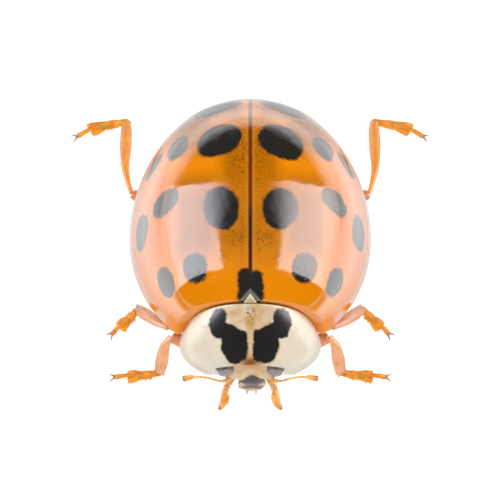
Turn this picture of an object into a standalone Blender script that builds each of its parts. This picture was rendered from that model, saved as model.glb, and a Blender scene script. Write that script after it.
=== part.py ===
"""A harlequin ladybird (Harmonia axyridis) at life size, standing on its six feet, as separate solids.

Units are metres in Blender, and every size below is in millimetres. The body frame has its origin at the
widest place of the wing cases, level with their lower edge: X across the body, +Y towards the tail, -Y
towards the head, +Z up. An empty carries that frame, so that the feet stand on Z = 0.
"""

import math

import bmesh
import bpy
from mathutils import Matrix, Vector

MM = 0.001

# Wing cases: the dome that gives the animal its outline.
ELYTRA_WIDTH = 5.8
DOME_HEIGHT = 2.8
REAR_REACH = 3.45
FRONT_REACH = 3.16
CREST_REACH = 0.685  # how much further forward the dome would run along its crest than along its edge
ELYTRON_WALL = 0.5
BASE_Y = -2.43  # where the wing cases end and the pronotum begins
GAP = 0.03  # the clearance between touching pieces

# Trunk under the wing cases.
VENTER_DEPTH = 0.38
WAIST_Y = 0.1  # thorax in front, abdomen behind

# Scutellum: the small triangle between the bases of the wing cases.
SCUTELLUM_WIDTH = 0.46
SCUTELLUM_LENGTH = 0.27
SCUTELLUM_FLOOR = 1.75

# Pronotum: an arch that narrows and drops towards the head.
PRONOTUM_LENGTH = 1.2
PRONOTUM_HALF_WIDTH = 1.66
PRONOTUM_WIDEST = 0.27  # share of the length from the rear
PRONOTUM_PINCH = 0.09  # how much narrower it is at its base
PRONOTUM_NOSE = 0.5  # half the width between its rounded front corners
PRONOTUM_TAPER = 0.825
PRONOTUM_ROUNDNESS = (2.15, 0.465)
PRONOTUM_TOP = 2.08
PRONOTUM_SLOPE = (0.70, 0.26)  # linear and quadratic drop of the crest
PRONOTUM_EDGE = 0.30
PRONOTUM_EDGE_RISE = 0.20
PRONOTUM_RIM = 0.06  # thickness of the side edges
PROSTERNUM_CENTRE = (0.0, -2.86, 0.05)
PROSTERNUM_SEMI = (0.98, 0.46, 0.34)

# Head.
HEAD_CENTRE = (0.0, -3.19, 0.55)
HEAD_SEMI = (0.76, 0.55, 0.54)
HEAD_BOXINESS = 2.5
NECK_Y = -3.0
EYE_CENTRE = (0.60, -3.52, 0.68)
EYE_SEMI = (0.25, 0.25, 0.30)

# Stance.
MARGIN_HEIGHT = 1.35  # the wing cases' lower edge above the floor
FRAME_Y = 0.38  # puts the middle of the animal's length at Y = 0

# Each limb is the hull of a few balls: (centre on the left side, radius).
LABRUM_BALLS = [((0.20, -3.76, 0.36), 0.13), ((0.20, -3.84, 0.30), 0.10)]
MOUTH_BALLS = [((0.20, -3.52, -0.02), 0.17), ((0.18, -3.80, 0.10), 0.15)]
PALP_BALLS = [((0.47, -3.72, 0.05), 0.17), ((0.59, -3.97, -0.08), 0.23), ((0.70, -4.16, -0.25), 0.17)]
ANTENNA_BALLS = [((0.52, -3.79, 0.40), 0.17), ((1.05, -3.91, 0.36), 0.20), ((1.50, -3.83, 0.32), 0.23)]
LEGS = {
    "front": {
        "coxa": (0.50, -2.72, -0.42),
        "knee": (1.84, -2.58, -0.19),
        "ankle": (2.21, -3.06, -1.13),
        "toe": (3.31, -3.11, -1.15),
    },
    "mid": {
        "coxa": (0.75, -1.15, -0.50),
        "knee": (1.95, -2.13, -0.28),
        "ankle": (2.72, -1.40, -1.13),
        "toe": (3.37, -2.02, -1.15),
    },
    "hind": {
        "coxa": (0.75, 0.15, -0.50),
        "knee": (2.87, 1.24, -0.38),
        "ankle": (3.02, 3.40, -1.13),
        "toe": (4.23, 3.06, -1.15),
    },
}
COXA_RADIUS = 0.27
THIGH_RADIUS = 0.29
KNEE_RADIUS = 0.235
SHIN_RADIUS = 0.24
FOOT_RADIUS = 0.235

# The trunk pieces that each pair of thighs lies in.
THIGH_BEDS = {"front": ("prosternum", "thorax"), "mid": ("thorax",), "hind": ("thorax", "abdomen")}

SIDES = {"left": 1, "right": -1}
DOME_RINGS = (40, 22)
BALL_RINGS = (8, 6)
ORGAN_RINGS = (16, 10)


def clear_scene():
    """Removes every object of the open scene."""
    for thing in list(bpy.data.objects):
        bpy.data.objects.remove(thing, do_unlink=True)


def make_material(name, colour, roughness):
    """A Principled material of one linear colour. Nothing on the animal is metal."""
    material = bpy.data.materials.new(name)
    material.use_nodes = True
    shader = material.node_tree.nodes["Principled BSDF"]
    shader.inputs["Base Color"].default_value = (*colour, 1.0)
    shader.inputs["Roughness"].default_value = roughness
    shader.inputs["Metallic"].default_value = 0.0
    return material


def smoothstep(low, high, value):
    """0 below low, 1 above high, with an even S between them."""
    share = min(1.0, max(0.0, (value - low) / (high - low)))
    return share * share * (3 - 2 * share)


# --- shapes, in the body frame and in millimetres -----------------------------------------------


def ball(rings, centre=(0, 0, 0), semi=(1, 1, 1)):
    """An ellipsoid with its poles along Y."""
    mesh = bmesh.new()
    turn = Matrix.Rotation(math.pi / 2, 4, "X")
    bmesh.ops.create_uvsphere(mesh, u_segments=rings[0], v_segments=rings[1], radius=1.0, matrix=turn)
    for vertex in mesh.verts:
        vertex.co = Vector(c + s * v for c, s, v in zip(centre, semi, vertex.co))
    return mesh


def boxy_ball(rings, centre, semi, boxiness):
    """A superellipsoid: the larger the boxiness, the squarer its shoulders."""
    mesh = ball(rings)
    for vertex in mesh.verts:
        size = sum(abs(v) ** boxiness for v in vertex.co) ** (1 / boxiness)
        vertex.co = Vector(c + s * v / size for c, s, v in zip(centre, semi, vertex.co))
    return mesh


def dome_point(unit, inset, depth):
    """Carries a point of the unit ball to the dome, inset from its surface, with an underside that deep."""
    x, y, z = unit
    front = FRONT_REACH + CREST_REACH * max(z, 0.0)
    reach = front + (REAR_REACH - front) * smoothstep(-0.25, 0.25, y)
    height = DOME_HEIGHT - inset if z > 0 else depth
    return Vector(((ELYTRA_WIDTH / 2 - inset) * x, (reach - inset) * y, height * z))


def dome(inset=0.0, depth=DOME_HEIGHT):
    """The whole dome as one closed body."""
    mesh = ball(DOME_RINGS)
    for vertex in mesh.verts:
        vertex.co = dome_point(vertex.co, inset, depth)
    return mesh


def cut(mesh, point, normal):
    """Takes off what lies on the normal's side of a plane, and closes the hole."""
    parts = [*mesh.verts, *mesh.edges, *mesh.faces]
    made = bmesh.ops.bisect_plane(
        mesh, geom=parts, dist=1e-5, plane_co=point, plane_no=normal, clear_outer=True
    )
    rim = [part for part in made["geom_cut"] if isinstance(part, bmesh.types.BMEdge)]
    bmesh.ops.edgeloop_fill(mesh, edges=rim)
    return mesh


def hull(balls, grow=0.0, mirror=False):
    """The convex hull of balls, and of their mirror images where the piece spans the body."""
    mesh = bmesh.new()
    turn = Matrix.Rotation(math.pi / 2, 4, "X")
    for centre, radius in balls:
        for side in (1, -1) if mirror else (1,):
            place = Matrix.Translation((side * centre[0], centre[1], centre[2])) @ turn
            size = radius + grow
            rings, rows = BALL_RINGS
            bmesh.ops.create_uvsphere(mesh, u_segments=rings, v_segments=rows, radius=size, matrix=place)
    bmesh.ops.delete(mesh, geom=mesh.edges, context="EDGES_FACES")
    made = bmesh.ops.convex_hull(mesh, input=mesh.verts)
    inner = {part for key in ("geom_interior", "geom_unused") for part in made[key]}
    inner = [part for part in inner if isinstance(part, bmesh.types.BMVert)]
    bmesh.ops.delete(mesh, geom=inner, context="VERTS")
    return mesh


def mitre(before, joint, after):
    """The plane normal that shares a bend evenly between two limb pieces."""
    inward = (Vector(joint) - Vector(before)).normalized()
    outward = (Vector(after) - Vector(joint)).normalized()
    return (inward + outward).normalized()


def on_side(points, side):
    """Points of the left side, or their mirror images."""
    return [(side * x, y, z) for x, y, z in points]


# --- pieces -------------------------------------------------------------------------------------


class Builder:
    """Adds meshes to the scene as nodes, or as hidden cutters, in the body frame."""

    def __init__(self):
        self.frame = bpy.data.objects.new("body_frame", None)
        self.frame.location = (0, FRAME_Y * MM, MARGIN_HEIGHT * MM)
        bpy.context.scene.collection.objects.link(self.frame)

    def _object(self, name, mesh):
        bmesh.ops.recalc_face_normals(mesh, faces=mesh.faces)
        mesh.transform(Matrix.Scale(MM, 4))
        data = bpy.data.meshes.new(name)
        mesh.to_mesh(data)
        mesh.free()
        made = bpy.data.objects.new(name, data)
        made.parent = self.frame
        bpy.context.scene.collection.objects.link(made)
        return made

    def node(self, name, mesh, material):
        """A piece of the animal."""
        made = self._object(name, mesh)
        made.data.shade_smooth()
        made.data.set_sharp_from_angle(angle=math.radians(35))
        made.data.materials.append(material)
        return made

    def cutter(self, name, mesh):
        """A helper that only cuts others."""
        made = self._object("cut_" + name, mesh)
        made.hide_render = True
        made.display_type = "WIRE"
        return made


def carve(piece, *cutters):
    """Cuts each cutter's shape out of a piece."""
    for cutter in cutters:
        modifier = piece.modifiers.new(cutter.name, "BOOLEAN")
        modifier.operation = "DIFFERENCE"
        modifier.object = cutter


def scutellum_mesh(grow, floor, rise):
    """The triangle's prism: its base along the front of the wing cases, its point towards the tail.

    It can be grown all round, and its top raised above the dome, to cut the room it lies in.
    """
    mesh = dome(-rise)
    half = SCUTELLUM_WIDTH / 2
    slant = math.hypot(half, SCUTELLUM_LENGTH)
    cut(mesh, (0, 0, floor), (0, 0, -1))
    cut(mesh, (0, BASE_Y - 5 * max(grow, 0.0), 0), (0, -1, 0))
    for side in SIDES.values():
        outward = Vector((side * SCUTELLUM_LENGTH, half, 0)) / slant
        corner = Vector((side * half, BASE_Y, 0)) + outward * grow
        cut(mesh, corner, outward)
    return mesh


def build_elytra(build, material):
    """Two half domes of one wall thickness, parted along the back, with a notch for the scutellum."""
    cavity = build.cutter("cavity", dome(ELYTRON_WALL))
    notch = build.cutter("notch", scutellum_mesh(GAP, SCUTELLUM_FLOOR - GAP, 0.2))
    for name, side in SIDES.items():
        mesh = dome()
        cut(mesh, (side * GAP / 2, 0, 0), (-side, 0, 0))
        cut(mesh, (0, 0, 0), (0, 0, -1))
        cut(mesh, (0, BASE_Y, 0), (0, -1, 0))
        carve(build.node("elytron_" + name, mesh, material), cavity, notch)


def build_trunk(build, material, thigh_room):
    """Thorax and abdomen, which fill the hollow of the wing cases, grooved where the thighs lie."""
    for name, plane, way in (("thorax", WAIST_Y, 1), ("abdomen", WAIST_Y + GAP, -1)):
        mesh = dome(ELYTRON_WALL + GAP, VENTER_DEPTH)
        cut(mesh, (0, plane, 0), (0, way, 0))
        if name == "thorax":
            cut(mesh, (0, BASE_Y, 0), (0, -1, 0))
        carve(build.node(name, mesh, material), *thigh_room[name])


def pronotum_half(along):
    """Half the width of the pronotum at a share of its length from the rear."""
    if along < PRONOTUM_WIDEST:
        return PRONOTUM_HALF_WIDTH - PRONOTUM_PINCH * (1 - along / PRONOTUM_WIDEST) ** 2
    share = (along - PRONOTUM_WIDEST) / PRONOTUM_TAPER
    corner = (1 - share ** PRONOTUM_ROUNDNESS[0]) ** PRONOTUM_ROUNDNESS[1]
    return PRONOTUM_NOSE + (PRONOTUM_HALF_WIDTH - PRONOTUM_NOSE) * corner


def pronotum_mesh(columns=18, rows=8):
    """The arch of the pronotum over a floor a little below its side edges."""
    mesh = bmesh.new()
    bmesh.ops.create_grid(mesh, x_segments=columns, y_segments=rows, size=1.0)
    bmesh.ops.solidify(mesh, geom=mesh.faces[:], thickness=1.0)
    for vertex in mesh.verts:
        angle, along = vertex.co.x * math.pi / 2, (1 - vertex.co.y) / 2
        top = PRONOTUM_TOP - PRONOTUM_SLOPE[0] * along - PRONOTUM_SLOPE[1] * along**2
        edge = PRONOTUM_EDGE + PRONOTUM_EDGE_RISE * along
        rise = (top - edge) * math.cos(angle) if abs(vertex.co.z) < 0.5 else -PRONOTUM_RIM
        y = BASE_Y - GAP - PRONOTUM_LENGTH * along
        vertex.co = (pronotum_half(along) * math.sin(angle), y, edge + rise)
    return mesh


def build_forebody(build, materials, thigh_room):
    """Pronotum, prosternum, head, eyes and mouthparts."""
    head = boxy_ball(ORGAN_RINGS, HEAD_CENTRE, HEAD_SEMI, HEAD_BOXINESS)
    cut(head, (0, NECK_Y, 0), (0, 1, 0))
    grown = [size + GAP for size in HEAD_SEMI]
    head_space = boxy_ball(ORGAN_RINGS, HEAD_CENTRE, grown, HEAD_BOXINESS)
    cut(head_space, (0, NECK_Y + GAP, 0), (0, 1, 0))
    head_space = build.cutter("head", head_space)
    eye_spaces = []
    for name, side in SIDES.items():
        centre = (side * EYE_CENTRE[0], *EYE_CENTRE[1:])
        build.node("eye_" + name, ball(ORGAN_RINGS, centre, EYE_SEMI), materials["eye"])
        grown = [size + GAP for size in EYE_SEMI]
        eye_spaces.append(build.cutter("eye_" + name, ball(ORGAN_RINGS, centre, grown)))

    carve(build.node("head", head, materials["cream"]), *eye_spaces)
    pronotum = build.node("pronotum", pronotum_mesh(), materials["cream"])
    carve(pronotum, head_space, *eye_spaces)

    prosternum = ball(ORGAN_RINGS, PROSTERNUM_CENTRE, PROSTERNUM_SEMI)
    cut(prosternum, (0, 0, PRONOTUM_EDGE - GAP), (0, 0, 1))
    cut(prosternum, (0, BASE_Y - GAP, 0), (0, 1, 0))
    carve(build.node("prosternum", prosternum, materials["black"]), head_space, *thigh_room)

    labrum = build.node("labrum", hull(LABRUM_BALLS, mirror=True), materials["black"])
    carve(labrum, head_space)
    labrum_space = build.cutter("labrum", hull(LABRUM_BALLS, GAP, mirror=True))
    mouth = build.node("mouthparts", hull(MOUTH_BALLS, mirror=True), materials["brown"])
    carve(mouth, head_space, labrum_space)
    mouth_space = build.cutter("mouthparts", hull(MOUTH_BALLS, GAP, mirror=True))
    for name, side in SIDES.items():
        for kind, balls in (("palp", PALP_BALLS), ("antenna", ANTENNA_BALLS)):
            placed = [((side * c[0], c[1], c[2]), r) for c, r in balls]
            feeler = build.node(f"{kind}_{name}", hull(placed), materials["orange"])
            carve(feeler, head_space, labrum_space, mouth_space, *eye_spaces)


def leg_meshes(points, side, grow=0.0):
    """The three pieces of a leg: thigh with hip, shin, and foot with its flat sole."""
    coxa, knee, ankle, toe = on_side([points[key] for key in ("coxa", "knee", "ankle", "toe")], side)
    belly = Vector(coxa).lerp(Vector(knee), 0.55)
    femur = hull([(coxa, COXA_RADIUS), (belly, THIGH_RADIUS), (knee, KNEE_RADIUS)], grow)
    tibia = hull([(knee, KNEE_RADIUS), (ankle, SHIN_RADIUS)], grow)
    tarsus = hull([(ankle, FOOT_RADIUS), (toe, FOOT_RADIUS)], grow)
    knee_way, ankle_way = mitre(coxa, knee, ankle), mitre(knee, ankle, toe)
    cut(femur, Vector(knee) - knee_way * (GAP / 2), knee_way)
    cut(tibia, Vector(knee) + knee_way * (GAP / 2), -knee_way)
    cut(tibia, Vector(ankle) - ankle_way * (GAP / 2), ankle_way)
    cut(tarsus, Vector(ankle) + ankle_way * (GAP / 2), -ankle_way)
    for piece in (tibia, tarsus):
        cut(piece, (0, 0, -MARGIN_HEIGHT), (0, 0, -1))
    return {"femur": femur, "tibia": tibia, "tarsus": tarsus}


def build_legs(build, material):
    """Six legs of three pieces. Returns the cutters that make room for the thighs, by the piece they cut."""
    room = {"thorax": [], "abdomen": [], "prosternum": []}
    for pair, points in LEGS.items():
        for name, side in SIDES.items():
            for piece, mesh in leg_meshes(points, side).items():
                build.node(f"{piece}_{pair}_{name}", mesh, material)
            space = build.cutter(f"femur_{pair}_{name}", leg_meshes(points, side, GAP)["femur"])
            for trunk_piece in THIGH_BEDS[pair]:
                room[trunk_piece].append(space)
    return room


def main():
    clear_scene()
    materials = {
        "orange": make_material("orange_chitin", (0.83, 0.27, 0.03), 0.35),
        "shell": make_material("orange_elytra", (0.80, 0.21, 0.01), 0.15),
        "cream": make_material("cream_chitin", (0.85, 0.76, 0.57), 0.20),
        "black": make_material("black_chitin", (0.02, 0.02, 0.02), 0.25),
        "brown": make_material("brown_chitin", (0.30, 0.16, 0.08), 0.40),
        "eye": make_material("eye_facets", (0.05, 0.045, 0.04), 0.30),
    }
    build = Builder()
    room = build_legs(build, materials["orange"])
    build_elytra(build, materials["shell"])
    build.node("scutellum", scutellum_mesh(0.0, SCUTELLUM_FLOOR, 0.0), materials["cream"])
    build_trunk(build, materials["black"], room)
    build_forebody(build, materials, room["prosternum"])


main()
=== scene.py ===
"""A harlequin ladybird at life size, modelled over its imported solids, with its markings, claws and hairs.

Shapes are worked out in the body frame, in millimetres: its origin is at the widest place of the wing cases,
level with their lower edge, with +X to the animal's left, +Y towards the tail and +Z up. One matrix carries
finished meshes to the shared frame, in metres, where the feet stand on Z = 0.
"""

from __future__ import annotations

import logging
import math
import random
from dataclasses import dataclass, field
from enum import Enum
from functools import cached_property
from typing import Callable, Iterable, Sequence

import bmesh
import bpy
from mathutils import Matrix, Vector, noise

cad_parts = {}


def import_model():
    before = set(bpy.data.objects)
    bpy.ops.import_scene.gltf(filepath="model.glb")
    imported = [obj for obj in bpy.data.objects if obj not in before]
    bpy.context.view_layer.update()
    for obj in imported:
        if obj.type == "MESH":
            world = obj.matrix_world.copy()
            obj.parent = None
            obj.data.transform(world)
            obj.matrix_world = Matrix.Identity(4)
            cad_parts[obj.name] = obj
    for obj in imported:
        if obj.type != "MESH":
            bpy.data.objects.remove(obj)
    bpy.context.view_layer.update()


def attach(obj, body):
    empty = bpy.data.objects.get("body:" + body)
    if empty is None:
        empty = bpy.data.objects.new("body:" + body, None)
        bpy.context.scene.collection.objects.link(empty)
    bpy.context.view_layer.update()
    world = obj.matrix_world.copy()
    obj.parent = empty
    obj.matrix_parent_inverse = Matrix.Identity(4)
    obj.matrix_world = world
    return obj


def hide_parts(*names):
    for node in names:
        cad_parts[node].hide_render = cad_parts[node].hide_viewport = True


LOG = logging.getLogger("ladybird")

UnitShape = Callable[[Vector], Vector]
SheetShape = Callable[[float, float], Vector]

MM = 0.001
FRAME_Y = 0.38
MARGIN_HEIGHT = 1.35
TO_FRAME = Matrix.Translation((0.0, FRAME_Y * MM, MARGIN_HEIGHT * MM)) @ Matrix.Scale(MM, 4)
FLOOR = -MARGIN_HEIGHT
RIGHT_ANGLE = math.pi / 2
UP = Vector((0.0, 0.0, 1.0))
FULL_TURN = (0.0, 2 * math.pi)
UNDERSIDE = (math.pi, 2 * math.pi)
TOP = (0.0, math.pi)


class Side(Enum):
    """The two sides of the body, by the sign of X."""

    LEFT = 1
    RIGHT = -1

    @property
    def label(self) -> str:
        """The word that node names end with."""
        return self.name.lower()

    def of(self, point: Sequence[float]) -> Vector:
        """A point given for the left side, put on this side."""
        return Vector((self.value * point[0], point[1], point[2]))


class Slot(Enum):
    """The record's material slots."""

    SHELL = "shell"
    CREAM = "cream"
    BLACK = "black"
    LIMB = "limb"
    MOUTH = "mouth"
    EYE = "eye"


# --- numbers --------------------------------------------------------------------------------------


def smoothstep(low: float, high: float, value: float) -> float:
    """0 below low, 1 above high, an even S between them."""
    share = min(1.0, max(0.0, (value - low) / (high - low)))
    return share * share * (3.0 - 2.0 * share)


def mix(start: float, end: float, share: float) -> float:
    """The value a share of the way from start to end."""
    return start + (end - start) * share


def bell(distance: float, width: float) -> float:
    """1 at no distance, falling away over the width."""
    return math.exp(-((distance / width) ** 2))


def linear(code: str) -> tuple[float, float, float, float]:
    """Turns an sRGB hex colour into linear values with alpha 1.

    Args:
        code: The colour, as #RRGGBB.

    Returns:
        Red, green, blue and alpha.
    """
    parts = [int(code[i : i + 2], 16) / 255.0 for i in (1, 3, 5)]
    red, green, blue = (p / 12.92 if p <= 0.04045 else ((p + 0.055) / 1.055) ** 2.4 for p in parts)
    return red, green, blue, 1.0


# --- finishes -------------------------------------------------------------------------------------


class Node(Enum):
    """The nodes of the finishes: type, settings, the inputs that are filled in turn, and the output read."""

    COORDINATES = ("TexCoord", {}, (), "Object")
    SCALE = ("VectorMath", {"operation": "SCALE"}, ("Vector", "Scale"), 0)
    LENGTH = ("VectorMath", {"operation": "LENGTH"}, ("Vector",), "Value")
    ATTRIBUTE = ("Attribute", {}, (), "Fac")
    NOISE = ("TexNoise", {}, ("Vector", "Scale", "Detail", "Roughness"), "Fac")
    CELLS = ("TexVoronoi", {}, ("Vector", "Scale", "Randomness"), "Distance")
    RAMP = ("MapRange", {"interpolation_type": "SMOOTHSTEP"}, ("Value", "From Min", "From Max"), "Result")
    BLEND = ("Mix", {"data_type": "RGBA"}, (0, 6, 7), 2)
    ADD = ("Math", {"operation": "ADD"}, (0, 1), 0)
    SUBTRACT = ("Math", {"operation": "SUBTRACT"}, (0, 1), 0)
    MULTIPLY = ("Math", {"operation": "MULTIPLY"}, (0, 1), 0)
    GREATER = ("Math", {"operation": "MAXIMUM"}, (0, 1), 0)
    BUMP = ("Bump", {}, ("Height", "Distance"), "Normal")
    EMISSION = ("Emission", {}, ("Color", "Strength"), "Emission")

    def __init__(self, kind: str, settings: dict[str, str], inputs: tuple, output: int | str) -> None:
        """Keeps the four under their names."""
        self.kind, self.settings, self.inputs, self.output = kind, settings, inputs, output


class Graph:
    """A material's node tree around one Principled shader."""

    def __init__(self, name: str) -> None:
        """Starts a material.

        Args:
            name: What it is called.
        """
        self.material = bpy.data.materials.new(name)
        self.material.use_nodes = True
        self.tree = self.material.node_tree
        self.shader = self.tree.nodes["Principled BSDF"]

    @cached_property
    def place(self) -> bpy.types.NodeSocket:
        """The piece's own coordinates, in millimetres."""
        return self.add(Node.SCALE, self.add(Node.COORDINATES), 1.0 / MM)

    def give(self, socket: bpy.types.NodeSocket, value: object) -> None:
        """Fills an input.

        Args:
            socket: The input.
            value: An output to link it to, a number, or an sRGB hex colour.
        """
        if isinstance(value, bpy.types.NodeSocket):
            self.tree.links.new(value, socket)
        else:
            socket.default_value = linear(value) if isinstance(value, str) else value

    def add(self, node: Node, *inputs: object, **settings: object) -> bpy.types.NodeSocket:
        """Adds a node with its settings and links.

        Args:
            node: Which.
            inputs: What its inputs get, in the order that the kind lists them.
            settings: Attributes of the node itself, besides those of its kind.

        Returns:
            The output that the kind names.
        """
        made = self.tree.nodes.new("ShaderNode" + node.kind)
        for key, value in {**node.settings, **settings}.items():
            setattr(made, key, value)
        for socket, value in zip(node.inputs, inputs):
            self.give(made.inputs[socket], value)
        return made.outputs[node.output]

    def stored(self, *names: str) -> list[bpy.types.NodeSocket]:
        """The numbers stored on the mesh under these names."""
        return [self.add(Node.ATTRIBUTE, attribute_name=name) for name in names]

    def set(self, **values: object) -> None:
        """Fills inputs of the shader, by name with underscores for spaces."""
        for name, value in values.items():
            self.give(self.shader.inputs[name.replace("_", " ")], value)

    def relief(self, height: bpy.types.NodeSocket, depth: float) -> None:
        """Adds bumps over any relief given before, to the body and to its clear layer.

        Args:
            height: 0 to 1.
            depth: The height that 1 stands for, in millimetres.
        """
        made = self.add(Node.BUMP, height, depth * MM)
        normal = self.shader.inputs["Normal"]
        if normal.is_linked:
            self.give(made.node.inputs["Normal"], normal.links[0].from_socket)
        self.set(Normal=made, Coat_Normal=made)


@dataclass(frozen=True)
class Gloss:
    """How light leaves a cuticle: a satin body under a clear outer layer, and some light through it."""

    roughness: float = 0.3
    specular: float = 0.5
    ior: float = 1.5
    coat: float = 1.0
    coat_roughness: float = 0.07
    coat_ior: float = 1.56
    scatter: float = 0.0
    scatter_depth: float = 0.15
    scatter_share: tuple[float, float, float] = (1.0, 0.5, 0.25)

    def apply(self, graph: Graph) -> None:
        """Sets the shader of a finish.

        Args:
            graph: The finish's nodes.
        """
        graph.set(Roughness=self.roughness, Specular_IOR_Level=self.specular, IOR=self.ior, Metallic=0.0)
        graph.set(Coat_Weight=self.coat, Coat_Roughness=self.coat_roughness, Coat_IOR=self.coat_ior)
        if self.scatter:
            radius = [self.scatter_depth * share * MM for share in self.scatter_share]
            graph.set(Subsurface_Weight=self.scatter, Subsurface_Scale=1.0, Subsurface_Radius=radius)


@dataclass(frozen=True)
class ElytraFinish:
    """Wing cases: orange pigment seen through clear cuticle, with black spots that have ragged edges.

    It gives the eye a deep wet shine with sharp bright lights on it. The punctures are as close as real ones.
    """

    orange: str = "#D58206"
    deep: str = "#C87202"
    # Painted light: clearer orange across the base and in a band behind the middle.
    bright: str = "#FC9404"
    # Painted shade: darker brownish orange beside the middle and towards the tail.
    painted_shade: str = "#9E5C0A"
    side: str = "#EE7E06"
    freckle: str = "#603408"
    seam_halo: str = "#E89A30"
    seam_behind: str = "#84380C"
    seam_in_front: str = "#452A1E"
    seam_slit: str = "#20100A"
    thin_edge: str = "#F0B860"
    spot_rim: str = "#5A2A0C"
    black: str = "#2A2825"
    # Painted highlight: pale grey along the rim of the notch that holds the scutellum.
    painted_highlight: str = "#BCB2B4"
    punctures_per_mm: float = 24.0
    relief_per_mm: float = 13.0
    puncture_depth: float = 0.0016
    waviness: float = 0.010
    gloss: Gloss = Gloss(roughness=0.09, coat_roughness=0.05)

    def make(self) -> bpy.types.Material:
        """Builds the material.

        Returns:
            The material. It reads the attributes that Elytron.paint stores.
        """
        g = Graph("elytra_cuticle")
        add = g.add
        painted_shade, low, bright, dense, seam = g.stored("painted_shade", "low", "bright", "freckle", "seam")
        front, rim, spot, bevel, dull = g.stored("front", "rim", "spot", "bevel", "dull")
        # Orange in soft clouds, with painted shade beside the middle and towards the tail, and painted light
        # across the base and in a band behind the middle.
        cloud = add(Node.RAMP, add(Node.NOISE, g.place, 1.1, 3.0, 0.55), 0.35, 0.7)
        body = add(Node.BLEND, cloud, self.orange, self.deep)
        # Painted shade: darker orange beside the middle and towards the tail.
        body = add(Node.BLEND, painted_shade, body, self.painted_shade)
        body = add(Node.BLEND, low, body, self.side)
        # Painted light: clearer orange across the base and in a band behind the middle.
        body = add(Node.BLEND, bright, body, self.bright)
        # Fine punctures, each a darker point; they crowd together in brownish freckles.
        pits = add(Node.CELLS, g.place, self.punctures_per_mm, 1.0)
        grain = add(Node.RAMP, add(Node.NOISE, g.place, 28.0, 2.0, 0.7), 0.50, 0.66)
        speckle = add(Node.GREATER, add(Node.RAMP, pits, 0.42, 0.12), grain)
        dense = add(Node.MULTIPLY, add(Node.MULTIPLY, dense, speckle), 0.95)
        body = add(Node.BLEND, dense, body, self.freckle)
        # The seam: red-brown behind and darker in front, with a paler line on either side.
        halo = add(Node.MULTIPLY, add(Node.RAMP, seam, 0.15, 0.09), 0.25)
        body = add(Node.BLEND, halo, body, self.seam_halo)
        line = add(Node.BLEND, front, self.seam_behind, self.seam_in_front)
        body = add(Node.BLEND, add(Node.RAMP, seam, 0.075, 0.02), body, line)
        slit = add(Node.MULTIPLY, add(Node.RAMP, seam, 0.016, 0.006), 0.5)
        body = add(Node.BLEND, slit, body, self.seam_slit)
        # The outer edge is thinner and paler.
        thin = add(Node.MULTIPLY, add(Node.RAMP, rim, 0.30, 0.03), 0.5)
        body = add(Node.BLEND, thin, body, self.thin_edge)
        # Spots: the stored distance, roughened by fine noise and by the punctures.
        ragged = add(Node.SUBTRACT, add(Node.NOISE, g.place, 7.0, 3.0, 0.6), 0.5)
        edge = add(Node.ADD, spot, add(Node.MULTIPLY, ragged, 0.10))
        edge = add(Node.ADD, edge, add(Node.MULTIPLY, add(Node.SUBTRACT, pits, 0.35), 0.05))
        brown = add(Node.MULTIPLY, add(Node.RAMP, edge, 0.07, 0.01), 0.55)
        body = add(Node.BLEND, brown, body, self.spot_rim)
        body = add(Node.BLEND, add(Node.RAMP, edge, 0.03, -0.015), body, self.black)
        # Painted highlight: pale grey along the rim of the scutellum's notch.
        g.set(Base_Color=add(Node.BLEND, add(Node.MULTIPLY, bevel, 0.6), body, self.painted_highlight))
        g.relief(add(Node.NOISE, g.place, 1.6, 2.0, 0.55), self.waviness)
        dents = add(Node.CELLS, g.place, self.relief_per_mm, 1.0)
        g.relief(add(Node.RAMP, dents, 0.0, 0.30), self.puncture_depth)
        self.gloss.apply(g)
        # The turned-up corner beside the pronotum has hardly any shine.
        g.set(Coat_Weight=add(Node.SUBTRACT, self.gloss.coat, dull))
        g.set(Roughness=add(Node.ADD, self.gloss.roughness, add(Node.MULTIPLY, dull, 0.5)))
        return g.material


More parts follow.
